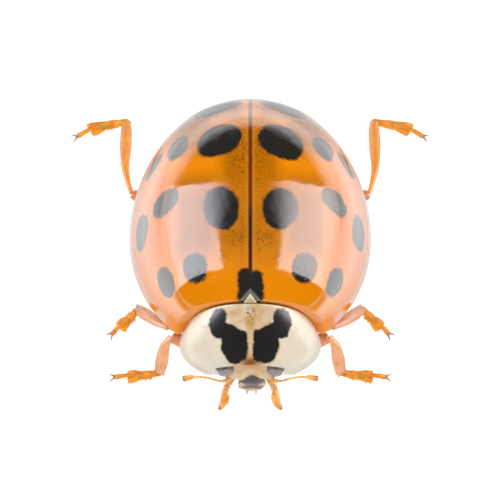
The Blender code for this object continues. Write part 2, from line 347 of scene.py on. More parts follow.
@dataclass(frozen=True)
class PronotumFinish:
    """Pronotum: cream cuticle with black marks, a tan field between them and a dark hind border.

    It gives the eye a smooth, milky shield, duller than the wing cases behind it.
    """

    cream: str = "#F1E3D1"
    deep: str = "#EDDCC4"
    tan: str = "#D2A664"
    stain: str = "#8E5A28"
    freckle: str = "#5B3C1C"
    mark_rim: str = "#6B4A28"
    black: str = "#1F1E1F"
    border: str = "#1A0F0A"
    punctures_per_mm: float = 20.0
    relief_per_mm: float = 15.0
    puncture_depth: float = 0.0014
    waviness: float = 0.008
    gloss: Gloss = Gloss(roughness=0.3, coat=0.6, coat_roughness=0.22, scatter=0.25, scatter_depth=0.35)

    def make(self) -> bpy.types.Material:
        """Builds the material.

        Returns:
            The material. It reads the attributes that Pronotum.paint stores.
        """
        g = Graph("pronotum_cuticle")
        add = g.add
        tan, stain, dense, mark, border = g.stored("tan", "stain", "freckle", "mark", "border")
        cloud = add(Node.RAMP, add(Node.NOISE, g.place, 0.9, 3.0, 0.55), 0.35, 0.75)
        body = add(Node.BLEND, cloud, self.cream, self.deep)
        body = add(Node.BLEND, tan, body, self.tan)
        body = add(Node.BLEND, stain, body, self.stain)
        pits = add(Node.CELLS, g.place, self.punctures_per_mm, 1.0)
        freckle = add(Node.MULTIPLY, dense, add(Node.RAMP, pits, 0.55, 0.15))
        body = add(Node.BLEND, freckle, body, self.freckle)
        # Marks: the stored distance, roughened by fine noise.
        ragged = add(Node.SUBTRACT, add(Node.NOISE, g.place, 11.0, 4.0, 0.65), 0.5)
        edge = add(Node.ADD, mark, add(Node.MULTIPLY, ragged, 0.12))
        brown = add(Node.MULTIPLY, add(Node.RAMP, edge, 0.05, 0.0), 0.6)
        body = add(Node.BLEND, brown, body, self.mark_rim)
        body = add(Node.BLEND, add(Node.RAMP, edge, 0.02, -0.015), body, self.black)
        g.set(Base_Color=add(Node.BLEND, add(Node.RAMP, border, 0.055, 0.03), body, self.border))
        g.relief(add(Node.NOISE, g.place, 1.5, 2.0, 0.55), self.waviness)
        dents = add(Node.CELLS, g.place, self.relief_per_mm, 1.0)
        g.relief(add(Node.RAMP, dents, 0.0, 0.3), self.puncture_depth)
        self.gloss.apply(g)
        return g.material


@dataclass(frozen=True)
class PlainFinish:
    """A cuticle of one colour with a cloudy second one, and an optional dark tip.

    It gives the eye small parts that are never quite even, with a fine grain in their lights.
    """

    name: str
    light: str
    dark: str
    clouds_per_mm: float = 3.0
    tip: str = "#5A3A28"
    grain_per_mm: float = 24.0
    grain_depth: float = 0.0012
    gloss: Gloss = Gloss()

    def make(self) -> bpy.types.Material:
        """Builds the material.

        Returns:
            The material. It reads the attribute tip, 0 where the mesh has none.
        """
        g = Graph(self.name)
        cloud = g.add(Node.RAMP, g.add(Node.NOISE, g.place, self.clouds_per_mm, 3.0, 0.55), 0.35, 0.7)
        body = g.add(Node.BLEND, cloud, self.light, self.dark)
        g.set(Base_Color=g.add(Node.BLEND, *g.stored("tip"), body, self.tip))
        grain = g.add(Node.CELLS, g.place, self.grain_per_mm, 1.0)
        g.relief(g.add(Node.RAMP, grain, 0.0, 0.5), self.grain_depth)
        self.gloss.apply(g)
        return g.material


@dataclass(frozen=True)
class EyeFinish:
    """Compound eye: grey-brown in front, near black behind as painted shade under the pronotum's edge, with a
    relief of fine facets.

    It gives the eye a bead that glitters all over instead of one clean light. The facets are of real size.
    """

    front: str = "#A39796"
    # Painted shade: the rear of the eye, where it tucks under the pronotum's edge.
    rear: str = "#3B302F"
    between: str = "#6E6361"
    facets_per_mm: float = 46.0
    unevenness: float = 0.25
    facet_depth: float = 0.004
    gloss: Gloss = Gloss(roughness=0.35, coat_roughness=0.12, coat=0.7)

    def make(self) -> bpy.types.Material:
        """Builds the material.

        Returns:
            The material. It reads the attribute tip, 1 on the rear part.
        """
        g = Graph("compound_eye")
        facet = g.add(Node.CELLS, g.place, self.facets_per_mm, self.unevenness)
        # Painted shade: near black on the rear part, under the pronotum's edge.
        body = g.add(Node.BLEND, *g.stored("tip"), self.front, self.rear)
        g.set(Base_Color=g.add(Node.BLEND, g.add(Node.RAMP, facet, 0.65, 0.2), body, self.between))
        g.relief(g.add(Node.RAMP, facet, 0.75, 0.0), self.facet_depth)
        self.gloss.apply(g)
        return g.material


# --- mesh building --------------------------------------------------------------------------------


def sheet(columns: int, rows: int, shape: Callable[[int, int], Vector]) -> bmesh.types.BMesh:
    """A grid of quads shaped by a function of its column and row.

    Args:
        columns: Cells across; the function gets 0 to this number.
        rows: Cells along, likewise.
        shape: Gives each corner's place, in millimetres.

    Returns:
        The mesh, its coinciding corners joined.
    """
    mesh = bmesh.new()
    bmesh.ops.create_grid(mesh, x_segments=columns, y_segments=rows, size=0.5)
    for vertex in mesh.verts:
        vertex.co = shape(round((vertex.co.x + 0.5) * columns), round((vertex.co.y + 0.5) * rows))
    bmesh.ops.remove_doubles(mesh, verts=mesh.verts, dist=1e-4)
    return mesh


def globe(shape: UnitShape, around: int = 96, along: int = 64) -> bmesh.types.BMesh:
    """A ball with its poles along Y, each point of the unit ball carried by a function.

    Args:
        shape: Carries each point of the unit ball to its place.
        around: Faces round the poles.
        along: Faces from pole to pole.

    Returns:
        The mesh.
    """
    mesh = bmesh.new()
    turn = Matrix.Rotation(RIGHT_ANGLE, 4, "X")
    bmesh.ops.create_uvsphere(mesh, u_segments=around, v_segments=along, radius=1.0, matrix=turn)
    for vertex in mesh.verts:
        vertex.co = shape(vertex.co)
    return mesh


def ellipsoid(centre: Sequence[float], semi: Sequence[float], boxiness: float = 2.0) -> UnitShape:
    """The function that carries the unit ball to an ellipsoid, squarer as boxiness grows.

    Args:
        centre: Its middle.
        semi: Its half sizes.
        boxiness: 2 for a true ellipsoid, more for a squarer one.

    Returns:
        The function.
    """

    def carry(unit: Vector) -> Vector:
        """The point of the surface the same way from the middle."""
        size = sum(abs(v) ** boxiness for v in unit) ** (1.0 / boxiness)
        return Vector(c + s * v / size for c, s, v in zip(centre, semi, unit))

    return carry


def join(parts: Iterable[bmesh.types.BMesh]) -> bmesh.types.BMesh:
    """Gathers meshes into one, and frees them.

    Args:
        parts: The meshes.

    Returns:
        The new mesh.
    """
    whole = bmesh.new()
    for part in parts:
        held = bpy.data.meshes.new("held")
        part.to_mesh(held)
        part.free()
        whole.from_mesh(held)
        bpy.data.meshes.remove(held)
    return whole


def store(mesh: bmesh.types.BMesh, name: str, value: Callable[[Vector], float]) -> None:
    """Writes a number on every vertex, worked out from its place in the body frame.

    Args:
        mesh: The mesh.
        name: The attribute's name.
        value: The number, as a function of the place.
    """
    layer = mesh.verts.layers.float.get(name) or mesh.verts.layers.float.new(name)
    for vertex in mesh.verts:
        vertex[layer] = value(vertex.co)


class Dresser:
    """Puts finished meshes into the scene, on the frame, in place of the solids they stand for."""

    @staticmethod
    def add(
        name: str,
        mesh: bmesh.types.BMesh,
        material: bpy.types.Material,
        slot: Slot,
        nodes: Sequence[str] = (),
    ) -> bpy.types.Object:
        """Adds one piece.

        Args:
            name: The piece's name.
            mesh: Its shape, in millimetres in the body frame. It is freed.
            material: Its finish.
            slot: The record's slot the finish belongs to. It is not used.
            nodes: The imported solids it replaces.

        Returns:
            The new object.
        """
        bmesh.ops.recalc_face_normals(mesh, faces=mesh.faces)
        for face in mesh.faces:
            face.smooth = True
        mesh.transform(TO_FRAME)
        data = bpy.data.meshes.new(name)
        mesh.to_mesh(data)
        mesh.free()
        data.materials.append(material)
        piece = bpy.data.objects.new(name, data)
        bpy.context.scene.collection.objects.link(piece)
        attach(piece, "root")
        if nodes:
            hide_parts(*nodes)
        LOG.info("%s: %d faces", name, len(data.polygons))
        return piece


# --- limbs and hairs ------------------------------------------------------------------------------


@dataclass(frozen=True)
class Key:
    """A place along a limb: where, how far it reaches to either side, and how deep."""

    at: tuple[float, float, float]
    wide: float
    deep: float


def spline(values: Sequence[float], share: float) -> float:
    """A smooth curve through values spaced evenly from 0 to 1.

    Args:
        values: The values.
        share: Where on the curve, 0 to 1.

    Returns:
        The value there.
    """
    place = min(max(share, 0.0), 1.0) * (len(values) - 1)
    index = min(int(place), len(values) - 2)
    t = place - index
    before = values[max(index - 1, 0)]
    start, end = values[index], values[index + 1]
    after = values[min(index + 2, len(values) - 1)]
    slope_in, slope_out = (end - before) / 2, (after - start) / 2
    return (
        (2 * t**3 - 3 * t**2 + 1) * start
        + (t**3 - 2 * t**2 + t) * slope_in
        + (3 * t**2 - 2 * t**3) * end
        + (t**3 - t**2) * slope_out
    )


@dataclass
class Limb:
    """A smooth tube through keys, rounded off at both ends."""

    keys: list[Key]
    side: Side = Side.LEFT
    blunt: float = 1.0
    sides: int = 20
    rings: int = 26

    def centre(self, share: float) -> Vector:
        """A point of the middle line."""
        return self.side.of([spline([key.at[axis] for key in self.keys], share) for axis in range(3)])

    def tangent(self, share: float) -> Vector:
        """The way the limb runs there."""
        step = 0.01
        return (self.centre(min(share + step, 1.0)) - self.centre(max(share - step, 0.0))).normalized()

    def frame(self, share: float) -> tuple[Vector, Vector]:
        """The directions of its width and of its depth.

        Args:
            share: How far along, 0 to 1.

        Returns:
            Both, of length 1.
        """
        way = self.tangent(share)
        wide = way.cross(UP).normalized()
        return wide, wide.cross(way).normalized()

    def point(self, share: float, angle: float, lift: float = 1.0) -> Vector:
        """A point of the skin.

        Args:
            share: How far along, 0 to 1.
            angle: How far round from the width's direction, in radians.
            lift: 1 on the skin, less inside it.

        Returns:
            The point in the body frame.
        """
        wide = spline([key.wide for key in self.keys], share)
        deep = spline([key.deep for key in self.keys], share)
        across, down = self.frame(share)
        return self.centre(share) + (across * wide * math.cos(angle) + down * deep * math.sin(angle)) * lift

    def length(self) -> float:
        """The length of the middle line, near enough."""
        return sum((self.centre(i / 8) - self.centre((i + 1) / 8)).length for i in range(8))

    def mesh(self, tip: Callable[[float], float] | None = None) -> bmesh.types.BMesh:
        """Builds the tube. tip, a function of the share along, is stored for the finish's dark tip.

        Args:
            tip: The strength of the finish's second colour, by the share along.

        Returns:
            The mesh.
        """
        length = self.length()
        reach = [self.blunt * key.deep / length for key in (self.keys[0], self.keys[-1])]
        stops = sorted({0.5 - 0.5 * math.cos(math.pi * i / self.rings) for i in range(self.rings + 1)})

        def round_off(share: float) -> float:
            """The share of the full girth, falling off at both ends."""
            ends = [min(1.0, share / max(reach[0], 1e-6)), min(1.0, (1.0 - share) / max(reach[1], 1e-6))]
            return math.prod(math.sqrt(max(0.0, 1.0 - (1.0 - end) ** 2)) for end in ends)

        def shape(column: int, row: int) -> Vector:
            """A corner of the tube, by its place round and along."""
            share = stops[row]
            return self.point(share, 2 * math.pi * column / self.sides, round_off(share))

        made = sheet(self.sides, len(stops) - 1, shape)
        if tip is not None:
            start, end = self.centre(0.0), self.centre(1.0)
            way = (end - start) / (end - start).length_squared
            store(made, "tip", lambda co: tip(min(1.0, max(0.0, (co - start).dot(way)))))
        return made


@dataclass
class Hairs:
    """Short stiff hairs, each a thin spike, gathered into one mesh with a small patch of map apiece."""

    seed: int
    thickness: float = 0.007
    taper: float = 0.12
    patch: float = 0.0015
    roots: list[tuple[Vector, Vector, float, float, float]] = field(default_factory=list)

    def __post_init__(self) -> None:
        """Starts the run of random numbers."""
        self.random = random.Random(self.seed)

    def plant(self, root: Vector, way: Vector, length: float, across: float, along: float) -> None:
        """Adds a hair. across and along, 0 to 1, are its root's place on the skin's map."""
        self.roots.append((root, way.normalized(), length, across, along))

    def cover(
        self,
        limb: Limb,
        count: int,
        span: tuple[float, float],
        angles: tuple[float, float],
        length: tuple[float, float],
        lean: float = 0.6,
    ) -> None:
        """Scatters hairs over part of a limb.

        Args:
            limb: What they grow from.
            count: How many.
            span: The stretch of its length, as shares.
            angles: The part of its girth, in radians from its width's direction.
            length: Shortest and longest, in millimetres.
            lean: How far they lean towards the tip, 0 for upright.
        """
        for _ in range(count):
            share = self.random.uniform(*span)
            angle = self.random.uniform(*angles)
            root = limb.point(share, angle, 0.93)
            out = (root - limb.centre(share)).normalized()
            sway = Vector([self.random.uniform(-0.25, 0.25) for _ in range(3)])
            way = out + limb.tangent(share) * (lean + self.random.uniform(-0.2, 0.2)) + sway
            self.plant(root, way, self.random.uniform(*length), (angle / (2 * math.pi)) % 1.0, share)

    def mesh(self) -> bmesh.types.BMesh:
        """Builds all the spikes.

        Returns:
            The mesh, with its own map.
        """
        made = bmesh.new()
        layer = made.loops.layers.uv.new("OFBake")
        for root, way, length, across, along in self.roots:
            turn = way.to_track_quat("Z", "Y").to_matrix().to_4x4()
            place = Matrix.Translation(root + way * length / 2) @ turn
            spike = bmesh.ops.create_cone(
                made, segments=3, radius1=self.thickness, radius2=self.thickness * self.taper, depth=length,
                matrix=place, cap_ends=True, cap_tris=False,
            )
            for face in {face for vertex in spike["verts"] for face in vertex.link_faces}:
                for loop in face.loops:
                    reach = (loop.vert.co - root).dot(way) / length
                    loop[layer].uv = (across + self.patch * (reach - 0.5), along + self.patch * (reach - 0.5))
        return made


# --- wing cases -----------------------------------------------------------------------------------


def chain_distance(here: Vector, rounds: Sequence[tuple[Vector, float]]) -> float:
    """The distance to a row of balls joined by tapering bars, negative inside.

    Args:
        here: The place.
        rounds: Each ball's middle and radius.

    Returns:
        The distance in millimetres.
    """
    nearest = 9.0
    for (start, first), (end, second) in zip(rounds, rounds[1:]):
        span = end - start
        share = min(1.0, max(0.0, (here - start).dot(span) / span.length_squared))
        nearest = min(nearest, (here - start.lerp(end, share)).length - mix(first, second, share))
    return nearest


@dataclass(frozen=True)
class Dome:
    """The form of the wing cases: a stretched ball, reaching further forward along its crest."""

    half_width: float = 2.9
    height: float = 2.8
    rear: float = 3.45
    front: float = 3.16
    crest: float = 0.685

    def at(self, around: float, along: float, inset: float = 0.0) -> Vector:
        """A point by its angle from the crest and its angle towards the tail, in radians.

        Args:
            around: The angle from the crest, in radians.
            along: The angle towards the tail, in radians.
            inset: How far inside the surface, in millimetres.

        Returns:
            The point in the body frame.
        """
        x, y, z = math.cos(along) * math.sin(around), math.sin(along), math.cos(along) * math.cos(around)
        front = self.front + self.crest * max(z, 0.0)
        reach = mix(front, self.rear, smoothstep(-0.25, 0.25, y))
        return Vector(((self.half_width - inset) * x, (reach - inset) * y, (self.height - inset) * z))

    def along_for(self, around: float, line: Callable[[float], float], inset: float = 0.0) -> float:
        """The angle along at which the dome meets a line across the body.

        Args:
            around: The angle from the crest, in radians.
            line: Y as a function of X.
            inset: How far inside the surface.

        Returns:
            The angle towards the tail, in radians.
        """
        low, high = -RIGHT_ANGLE, 0.0
        for _ in range(24):
            middle = (low + high) / 2
            point = self.at(around, middle, inset)
            low, high = (middle, high) if point.y < line(point.x) else (low, middle)
        return (low + high) / 2


DOME = Dome()
BASE_Y = -2.36
SHOULDER_REACH = 0.38
SHOULDER_WIDTH = 2.0
# Above this height there is only the crown of the wing cases, not their inner walls.
CROWN = 1.9


def base_line(x: float) -> float:
    """Where the wing cases begin: nearly straight across, bending forward at the shoulders."""
    return BASE_Y - SHOULDER_REACH * (x / SHOULDER_WIDTH) ** 6


@dataclass(frozen=True)
class Spot:
    """A black spot: its place on the dome in degrees, its half length and half width, and its turn."""

    around: float
    along: float
    length: float
    width: float
    twist: float


# Nine spots to a side; the tenth, shared, lies across the seam behind the scutellum.
SPOTS = (
    Spot(30.0, -25.6, 0.36, 0.33, -72.0),
    Spot(53.0, -28.7, 0.36, 0.30, 72.0),
    Spot(14.2, -3.5, 0.52, 0.43, 80.0),
    Spot(44.8, 3.0, 0.45, 0.28, -27.0),
    Spot(65.8, -4.9, 0.44, 0.32, -65.0),
    Spot(17.2, 28.5, 0.57, 0.50, -37.0),
    Spot(44.2, 28.4, 0.38, 0.31, 80.0),
    Spot(62.0, 24.0, 0.36, 0.22, -55.0),
    Spot(31.2, 57.0, 0.60, 0.50, -32.0),
)
# Half of the shared spot, as rounds joined in a row: place seen from above, and radius.
SEAM_SPOT = ((0.14, -1.85, 0.13), (0.13, -2.04, 0.185), (0.13, -2.22, 0.17), (0.12, -2.40, 0.15))


@dataclass
class Elytron:
    """One wing case: outer shell, flared edge, the band turned in below, and the inner wall."""

    side: Side
    wall: float = 0.5
    seam_gap: float = 0.0005
    flare: float = 0.022
    flare_height: float = 0.15
    shoulder_lift: float = 0.20
    shoulder_at: tuple[float, float] = (1.72, -1.98)
    shoulder_size: float = 0.42
    shoulder_swell: tuple[float, float, float] = (0.03375, -0.01125, 0.0375)
    fold_degrees: float = 63.0
    fold_width: float = 4.0
    fold_swell: tuple[float, float, float] = (0.0036, 0.0108, 0.009)
    base_roll: float = 0.012
    lip_radius: float = 0.022
    hollow: float = 0.07
    crowding: float = 1.15
    crease: float = 0.9
    outer: int = 104
    rows: int = 130

    def skin(self, around: float, along: float, inset: float = 0.0) -> Vector:
        """The shaped surface: dome, flare, shoulder and the fold before the tip.

        Args:
            around: The angle from the crest, in radians.
            along: The angle towards the tail, in radians.
            inset: How far inside the surface, in millimetres.

        Returns:
            The point in the body frame.
        """
        point = DOME.at(around, along, inset)
        if inset == 0.0:
            outline = Vector((point.x / DOME.half_width**2, point.y / DOME.rear**2, 0.0))
            if outline.length > 1e-9:
                point += outline.normalized() * self.flare * bell(point.z, self.flare_height)
        low = 1.0 - min(1.0, point.z / DOME.height)
        point.z += self.shoulder_lift * smoothstep(-1.2, -2.6, point.y) * low**3
        shoulder_x, shoulder_y = self.shoulder_at
        away = Vector((point.x - shoulder_x, (point.y - shoulder_y) * 0.9)).length
        point += Vector(self.shoulder_swell) * bell(away, self.shoulder_size)
        turn = math.degrees(around)
        fold = bell(math.degrees(along) - self.fold_degrees + 0.1 * turn, self.fold_width)
        point += Vector(self.fold_swell) * fold * smoothstep(8.0, 22.0, turn) * smoothstep(80.0, 60.0, turn)
        return point

    def profile(self) -> list[tuple[str, float]]:
        """The stations of the closed outline that is swept along: the part it belongs to, and the share.

        Returns:
            The name of the part and the share, for each station.
        """
        stations = [("outer", i / self.outer) for i in range(self.outer + 1)]
        stations += [("lip", i / 4) for i in range(1, 4)]
        stations += [("under", i / 8) for i in range(9)]
        stations += [("inner", 1.0 - i / 18) for i in range(1, 19)]
        stations += [("seam", i / 4) for i in range(1, 4)]
        return stations + [("outer", 0.0)]

    def mesh(self) -> bmesh.types.BMesh:
        """Builds the shell.

        Returns:
            The mesh, with what the finish reads.
        """
        stations = self.profile()
        shares = {share for _, share in stations}
        outer_start = {s: DOME.along_for(s * RIGHT_ANGLE, base_line) for s in shares}
        inner_start = {s: DOME.along_for(s * RIGHT_ANGLE, base_line, self.wall) for s in shares}

        def place(column: int, row: int) -> Vector:
            """Puts one corner of the sheet where its part of the outline runs.

            Args:
                column: The column of the grid.
                row: Its row.

            Returns:
                The corner's place.
            """
            part, share = stations[column]
            along = (row / self.rows) ** self.crowding
            rolled = self.base_roll * max(0.0, 1.0 - row / 2.0) ** 2
            if part == "outer":
                point = self.skin(share * RIGHT_ANGLE, mix(outer_start[share], RIGHT_ANGLE, along))
                point.z -= rolled
                point.x = max(point.x, self.seam_gap)
                return point
            if part == "inner":
                point = self.skin(share * RIGHT_ANGLE, mix(inner_start[share], RIGHT_ANGLE, along), self.wall)
                return Vector((max(point.x, self.seam_gap), point.y, point.z))
            edge = self.skin(RIGHT_ANGLE, mix(outer_start[1.0], RIGHT_ANGLE, along))
            inner = self.skin(RIGHT_ANGLE, mix(inner_start[1.0], RIGHT_ANGLE, along), self.wall)
            if part == "lip":
                inward = (inner - edge).normalized()
                bend = share * math.pi
                down = Vector((0.0, 0.0, -self.lip_radius * math.sin(bend)))
                return edge + inward * self.lip_radius * (1 - math.cos(bend)) + down
            if part == "under":
                start = edge + (inner - edge).normalized() * 2 * self.lip_radius
                point = start.lerp(inner, share)
                point.z += self.hollow * math.sin(share * math.pi)
                point.x = max(point.x, self.seam_gap)
                return point
            top = self.skin(0.0, mix(outer_start[0.0], RIGHT_ANGLE, along))
            floor = self.skin(0.0, mix(inner_start[0.0], RIGHT_ANGLE, along), self.wall)
            point = floor.lerp(top, share)
            return Vector((self.seam_gap, point.y, point.z))

        mesh = sheet(len(stations) - 1, self.rows, place)
        rim = [edge for edge in mesh.edges if edge.is_boundary]
        filled = bmesh.ops.edgeloop_fill(mesh, edges=rim)
        bmesh.ops.triangulate(mesh, faces=filled["faces"])
        for edge in mesh.edges:
            edge.smooth = edge.calc_face_angle(0.0) < self.crease
        self.notch(mesh)
        if self.side is Side.RIGHT:
            bmesh.ops.scale(mesh, verts=mesh.verts, vec=(-1, 1, 1))
        self.paint(mesh)
        return mesh

    @staticmethod
    def bright(co: Vector) -> float:
        """Painted light: clearer orange across the base, and in a band behind the middle.

        Args:
            co: A place in the body frame.

        Returns:
            The share of the painted light.
        """
        x = abs(co.x)
        band = bell(co.y - 1.02, 0.52) * smoothstep(0.45, 0.9, x) * smoothstep(2.3, 1.8, x)
        return max(0.7 * smoothstep(-0.9, -1.9, co.y), band)

    @staticmethod
    def painted_shade(co: Vector) -> float:
        """Painted shade: darker orange beside the middle, and towards the tail.

        Args:
            co: A place in the body frame.

        Returns:
            The share of the painted shade.
        """
        x = abs(co.x)
        beside = smoothstep(0.7, 1.1, x) * smoothstep(2.0, 1.6, x) * smoothstep(-1.7, -1.2, co.y)
        return max(0.9 * beside, smoothstep(2.1, 2.7, co.y) * smoothstep(0.1, 0.4, x))

    def notch(self, mesh: bmesh.types.BMesh) -> None:
        """Sinks the shell where the scutellum lies.

        Args:
            mesh: The shell.
        """
        plate = Scutellum()
        for vertex in mesh.verts:
            if vertex.co.z > CROWN:
                vertex.co.z -= plate.sunk * smoothstep(0.03, -0.02, plate.outside(vertex.co.x, vertex.co.y))

    def paint(self, mesh: bmesh.types.BMesh) -> None:
        """Stores the distances and densities that the finish reads.

        Args:
            mesh: The shell.
        """
        # Each spot is moved, turned and sized a little by chance, so that the sides differ.
        chance = random.Random(7 + self.side.value)
        ovals = []
        for spot in SPOTS:
            around = math.radians(spot.around + chance.uniform(-0.5, 0.5))
            along = math.radians(spot.along + chance.uniform(-0.5, 0.5))
            centre = DOME.at(around, along)
            right = (DOME.at(around + 0.01, along) - DOME.at(around - 0.01, along)).normalized()
            back = DOME.at(around, along + 0.01) - DOME.at(around, along - 0.01)
            back = (back - right * back.dot(right)).normalized()
            twist = math.radians(spot.twist + chance.uniform(-6, 6))
            first = right * math.cos(twist) + back * math.sin(twist)
            second = back * math.cos(twist) - right * math.sin(twist)
            size = chance.uniform(0.96, 1.04)
            ovals.append((centre, first / (spot.length * size), second / (spot.width * size)))

        heart = [(Vector((x, y, 0.0)), radius) for x, y, radius in SEAM_SPOT]

        def spot_distance(co: Vector) -> float:
            """How far a place is from the spots, with a ripple.

            Args:
                co: A place in the body frame.

            Returns:
                The distance to the nearest spot in millimetres, negative inside.
            """
            # Both sides share one pattern, but each has its own ripple.
            here = Vector((co.x * self.side.value, co.y, co.z))
            nearest = 1.0
            for centre, first, second in ovals:
                away = here - centre
                if away.length < 1.2:
                    size = math.hypot(away.dot(first), away.dot(second))
                    nearest = min(nearest, away.length * (1.0 - 1.0 / max(size, 0.05)))
            nearest = min(nearest, chain_distance(Vector((here.x, here.y, 0.0)), heart))
            ripple = noise.noise(co * 2.6 + Vector((0, 0, 9.0 * self.side.value)))
            return nearest + 0.045 * ripple

        def freckles(co: Vector) -> float:
            """Where the brownish freckles crowd.

            Args:
                co: A place in the body frame.

            Returns:
                How densely the brownish freckles stand, 0 to 1.
            """
            # A field behind the middle, denser on the right; a row beside the seam; two patches by the spots.
            x = abs(co.x)
            field_behind = (0.95 if co.x < 0 else 0.6) * bell(co.y - 1.35, 0.8) * smoothstep(1.05, 0.35, x)
            row_beside = 1.2 * bell(x - 0.20, 0.035) * bell(co.y + 0.95, 0.42)
            strip = 0.35 * smoothstep(0.7, 0.1, x) * smoothstep(-1.6, -0.6, co.y)
            patches = 1.4 * bell(Vector((x - 0.42, co.y + 0.95)).length, 0.17)
            patches += 0.8 * bell(Vector((x - 0.74, co.y + 1.38)).length, 0.15)
            return min(1.0, (field_behind + row_beside + strip + patches) * (co.z > 0.0))

        store(mesh, "spot", spot_distance)
        store(mesh, "freckle", freckles)
        store(mesh, "seam", lambda co: abs(co.x) + (0.0 if co.z > 0 else 1.0))
        store(mesh, "rim", lambda co: max(0.0, co.z))
        # Painted light across the base and in a band behind the middle.
        store(mesh, "bright", self.bright)
        store(mesh, "front", lambda co: smoothstep(0.0, -0.5, co.y))
        # Painted shade beside the middle and towards the tail.
        store(mesh, "painted_shade", self.painted_shade)
        # Painted highlight along the rim of the scutellum's notch, on the crown.
        store(mesh, "bevel", lambda co: bell(Scutellum().outside(co.x, co.y) - 0.03, 0.022) * (co.z > CROWN))
        store(mesh, "low", lambda co: smoothstep(1.6, 2.15, abs(co.x)) * smoothstep(2.6, 1.6, co.y))
        store(mesh, "dull", lambda co: smoothstep(1.04, 0.90, co.z) * smoothstep(-2.24, -2.36, co.y))


@dataclass(frozen=True)
class Scutellum:
    """The small triangular plate between the bases of the wing cases."""

    half_width: float = 0.155
    length: float = 0.145
    thickness: float = 0.16
    tuck: float = 0.05
    bevel: float = 0.05
    drop: float = 0.035
    proud: float = 0.004
    sunk: float = 0.05

    def outside(self, x: float, y: float) -> float:
        """How far a point is outside the triangle's slanting sides, negative inside."""
        slant = math.hypot(self.half_width, self.length)
        return (self.length * (abs(x) - self.half_width) + self.half_width * (y - BASE_Y)) / slant

    def mesh(self) -> bmesh.types.BMesh:
        """Builds the plate, slightly domed, with rounded edges.

        Returns:
            The mesh.
        """

        def top(column: int, row: int) -> Vector:
            """Puts one corner of the upper face on the dome.

            Args:
                column: The column of the grid.
                row: Its row.

            Returns:
                The corner's place.
            """
            along = row / 14
            x = (column / 12 - 0.5) * 2 * self.half_width * (1.0 - along)
            y = BASE_Y - self.tuck + (self.length + self.tuck) * along
            edge = min(1.0, max(0.0, -self.outside(x, y)) / self.bevel)
            slope = DOME.along_for(0.0, lambda _: y)
            z = DOME.at(0.0, slope).z - x * x / 5.0
            return Vector((x, y, z - self.drop * (1.0 - edge) ** 2 + self.proud))

        mesh = sheet(12, 14, top)
        made = bmesh.ops.extrude_face_region(mesh, geom=mesh.faces[:])
        moved = [part for part in made["geom"] if isinstance(part, bmesh.types.BMVert)]
        bmesh.ops.translate(mesh, verts=moved, vec=(0, 0, -self.thickness))
        store(mesh, "tip", lambda co: 0.35 * smoothstep(-0.05, -0.09, self.outside(co.x, co.y)))
        return mesh


# --- pronotum -------------------------------------------------------------------------------------


@dataclass(frozen=True)
class Blob:
    """A round part of a pronotum mark: where its middle lies, seen from above, and its radius."""

    x: float
    y: float
    radius: float


# One black mark: an outer lobe at the rear that broadens into a block beside the middle line.
MARK = (
    Blob(0.735, -2.63, 0.18),
    Blob(0.82, -2.82, 0.19),
    Blob(0.76, -2.94, 0.18),
    Blob(0.53, -2.99, 0.205),
    Blob(0.28, -3.13, 0.21),
    Blob(0.18, -3.05, 0.10),
    Blob(0.27, -3.31, 0.20),
    Blob(0.20, -3.47, 0.13),
    Blob(0.39, -3.46, 0.205),
    Blob(0.46, -3.30, 0.225),
    Blob(0.50, -3.06, 0.21),
)


